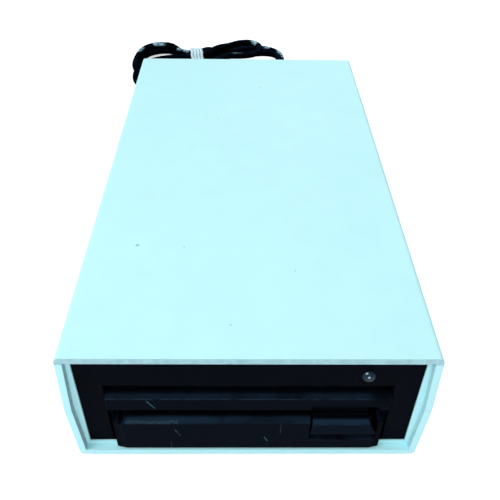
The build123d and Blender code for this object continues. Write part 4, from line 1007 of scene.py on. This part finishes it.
# Floor and lights: a plain pale floor that keeps the shadow, a pale world and four soft lights
white = (1.0, 1.0, 1.0)
stageLook = {
    "floorSize": 6.0,
    "floorColour": (0.9, 0.92, 0.93),
    "floorRoughness": 0.9,
    "floorGlow": 0.5,
    "worldLight": 0.34,
}
floorMesh = bpy.data.meshes.new("studio_floor")
half = stageLook["floorSize"] / 2
floorCorners = [(-half, -half, 0), (half, -half, 0), (half, half, 0), (-half, half, 0)]
floorMesh.from_pydata(floorCorners, [], [(0, 1, 2, 3)])
floorObject = bpy.data.objects.new("studio_floor", floorMesh)
scene.collection.objects.link(floorObject)
floorMaterial, floorTree, floorShader = startMaterial("studio_floor_white")
floorShader.inputs["Base Color"].default_value = (*stageLook["floorColour"], 1.0)
floorShader.inputs["Roughness"].default_value = stageLook["floorRoughness"]
floorShader.inputs["Specular IOR Level"].default_value = 0.0
rays = addNode(floorTree, "ShaderNodeLightPath")
seen = maths(floorTree, "ADD", rays.outputs["Is Camera Ray"], rays.outputs["Is Glossy Ray"])
seen = maths(floorTree, "ADD", seen, rays.outputs["Is Transmission Ray"], clamp=True)
floorShader.inputs["Emission Color"].default_value = (*white, 1.0)
glow = maths(floorTree, "MULTIPLY", seen, stageLook["floorGlow"])
floorTree.links.new(glow, floorShader.inputs["Emission Strength"])
floorMesh.materials.append(floorMaterial)

world = bpy.data.worlds.new("studio_world")
scene.world = world
world.use_nodes = True
worldTree = world.node_tree
backdrop = worldTree.nodes["Background"]
backdrop.inputs["Color"].default_value = (*white, 1.0)
rays = addNode(worldTree, "ShaderNodeLightPath")
shown = maths(
    worldTree, "ADD", rays.outputs["Is Camera Ray"], rays.outputs["Is Transmission Ray"], clamp=True
)
shown = maths(worldTree, "MULTIPLY", shown, 1.0 - stageLook["worldLight"])
strength = maths(worldTree, "ADD", stageLook["worldLight"], shown)
worldTree.links.new(strength, backdrop.inputs["Strength"])

lamps = [
    {
        "name": "key_light",
        "place": (-0.85, -0.45, 0.75),
        "size": 0.5,
        "power": 7.0,
        "colour": (0.86, 0.96, 1.0),
    },
    {
        "name": "top_light",
        "place": (0.1, 0.15, 1.2),
        "size": 0.8,
        "power": 4.3,
        "colour": white,
    },
    {
        "name": "back_light",
        "place": (0.25, 1.15, 0.5),
        "size": 0.35,
        "power": 2.2,
        "colour": (0.72, 0.88, 1.0),
    },
    {
        "name": "front_light",
        "place": (0.15, -1.25, 0.7),
        "size": 0.9,
        "power": 5.0,
        "colour": (0.78, 0.93, 1.0),
    },
]
lookAt = np.array([0.0, 0.03, 0.02])
for lamp in lamps:
    light = bpy.data.lights.new(lamp["name"], "AREA")
    light.size = lamp["size"]
    light.energy = lamp["power"]
    light.color = lamp["colour"]
    lampObject = bpy.data.objects.new(lamp["name"], light)
    away = np.array(lamp["place"]) - lookAt
    flat = np.hypot(away[0], away[1])
    lampObject.location = lamp["place"]
    lampObject.rotation_euler = (np.arctan2(flat, away[2]), 0.0, np.arctan2(away[0], -away[1]))
    scene.collection.objects.link(lampObject)
print("stage and lights")
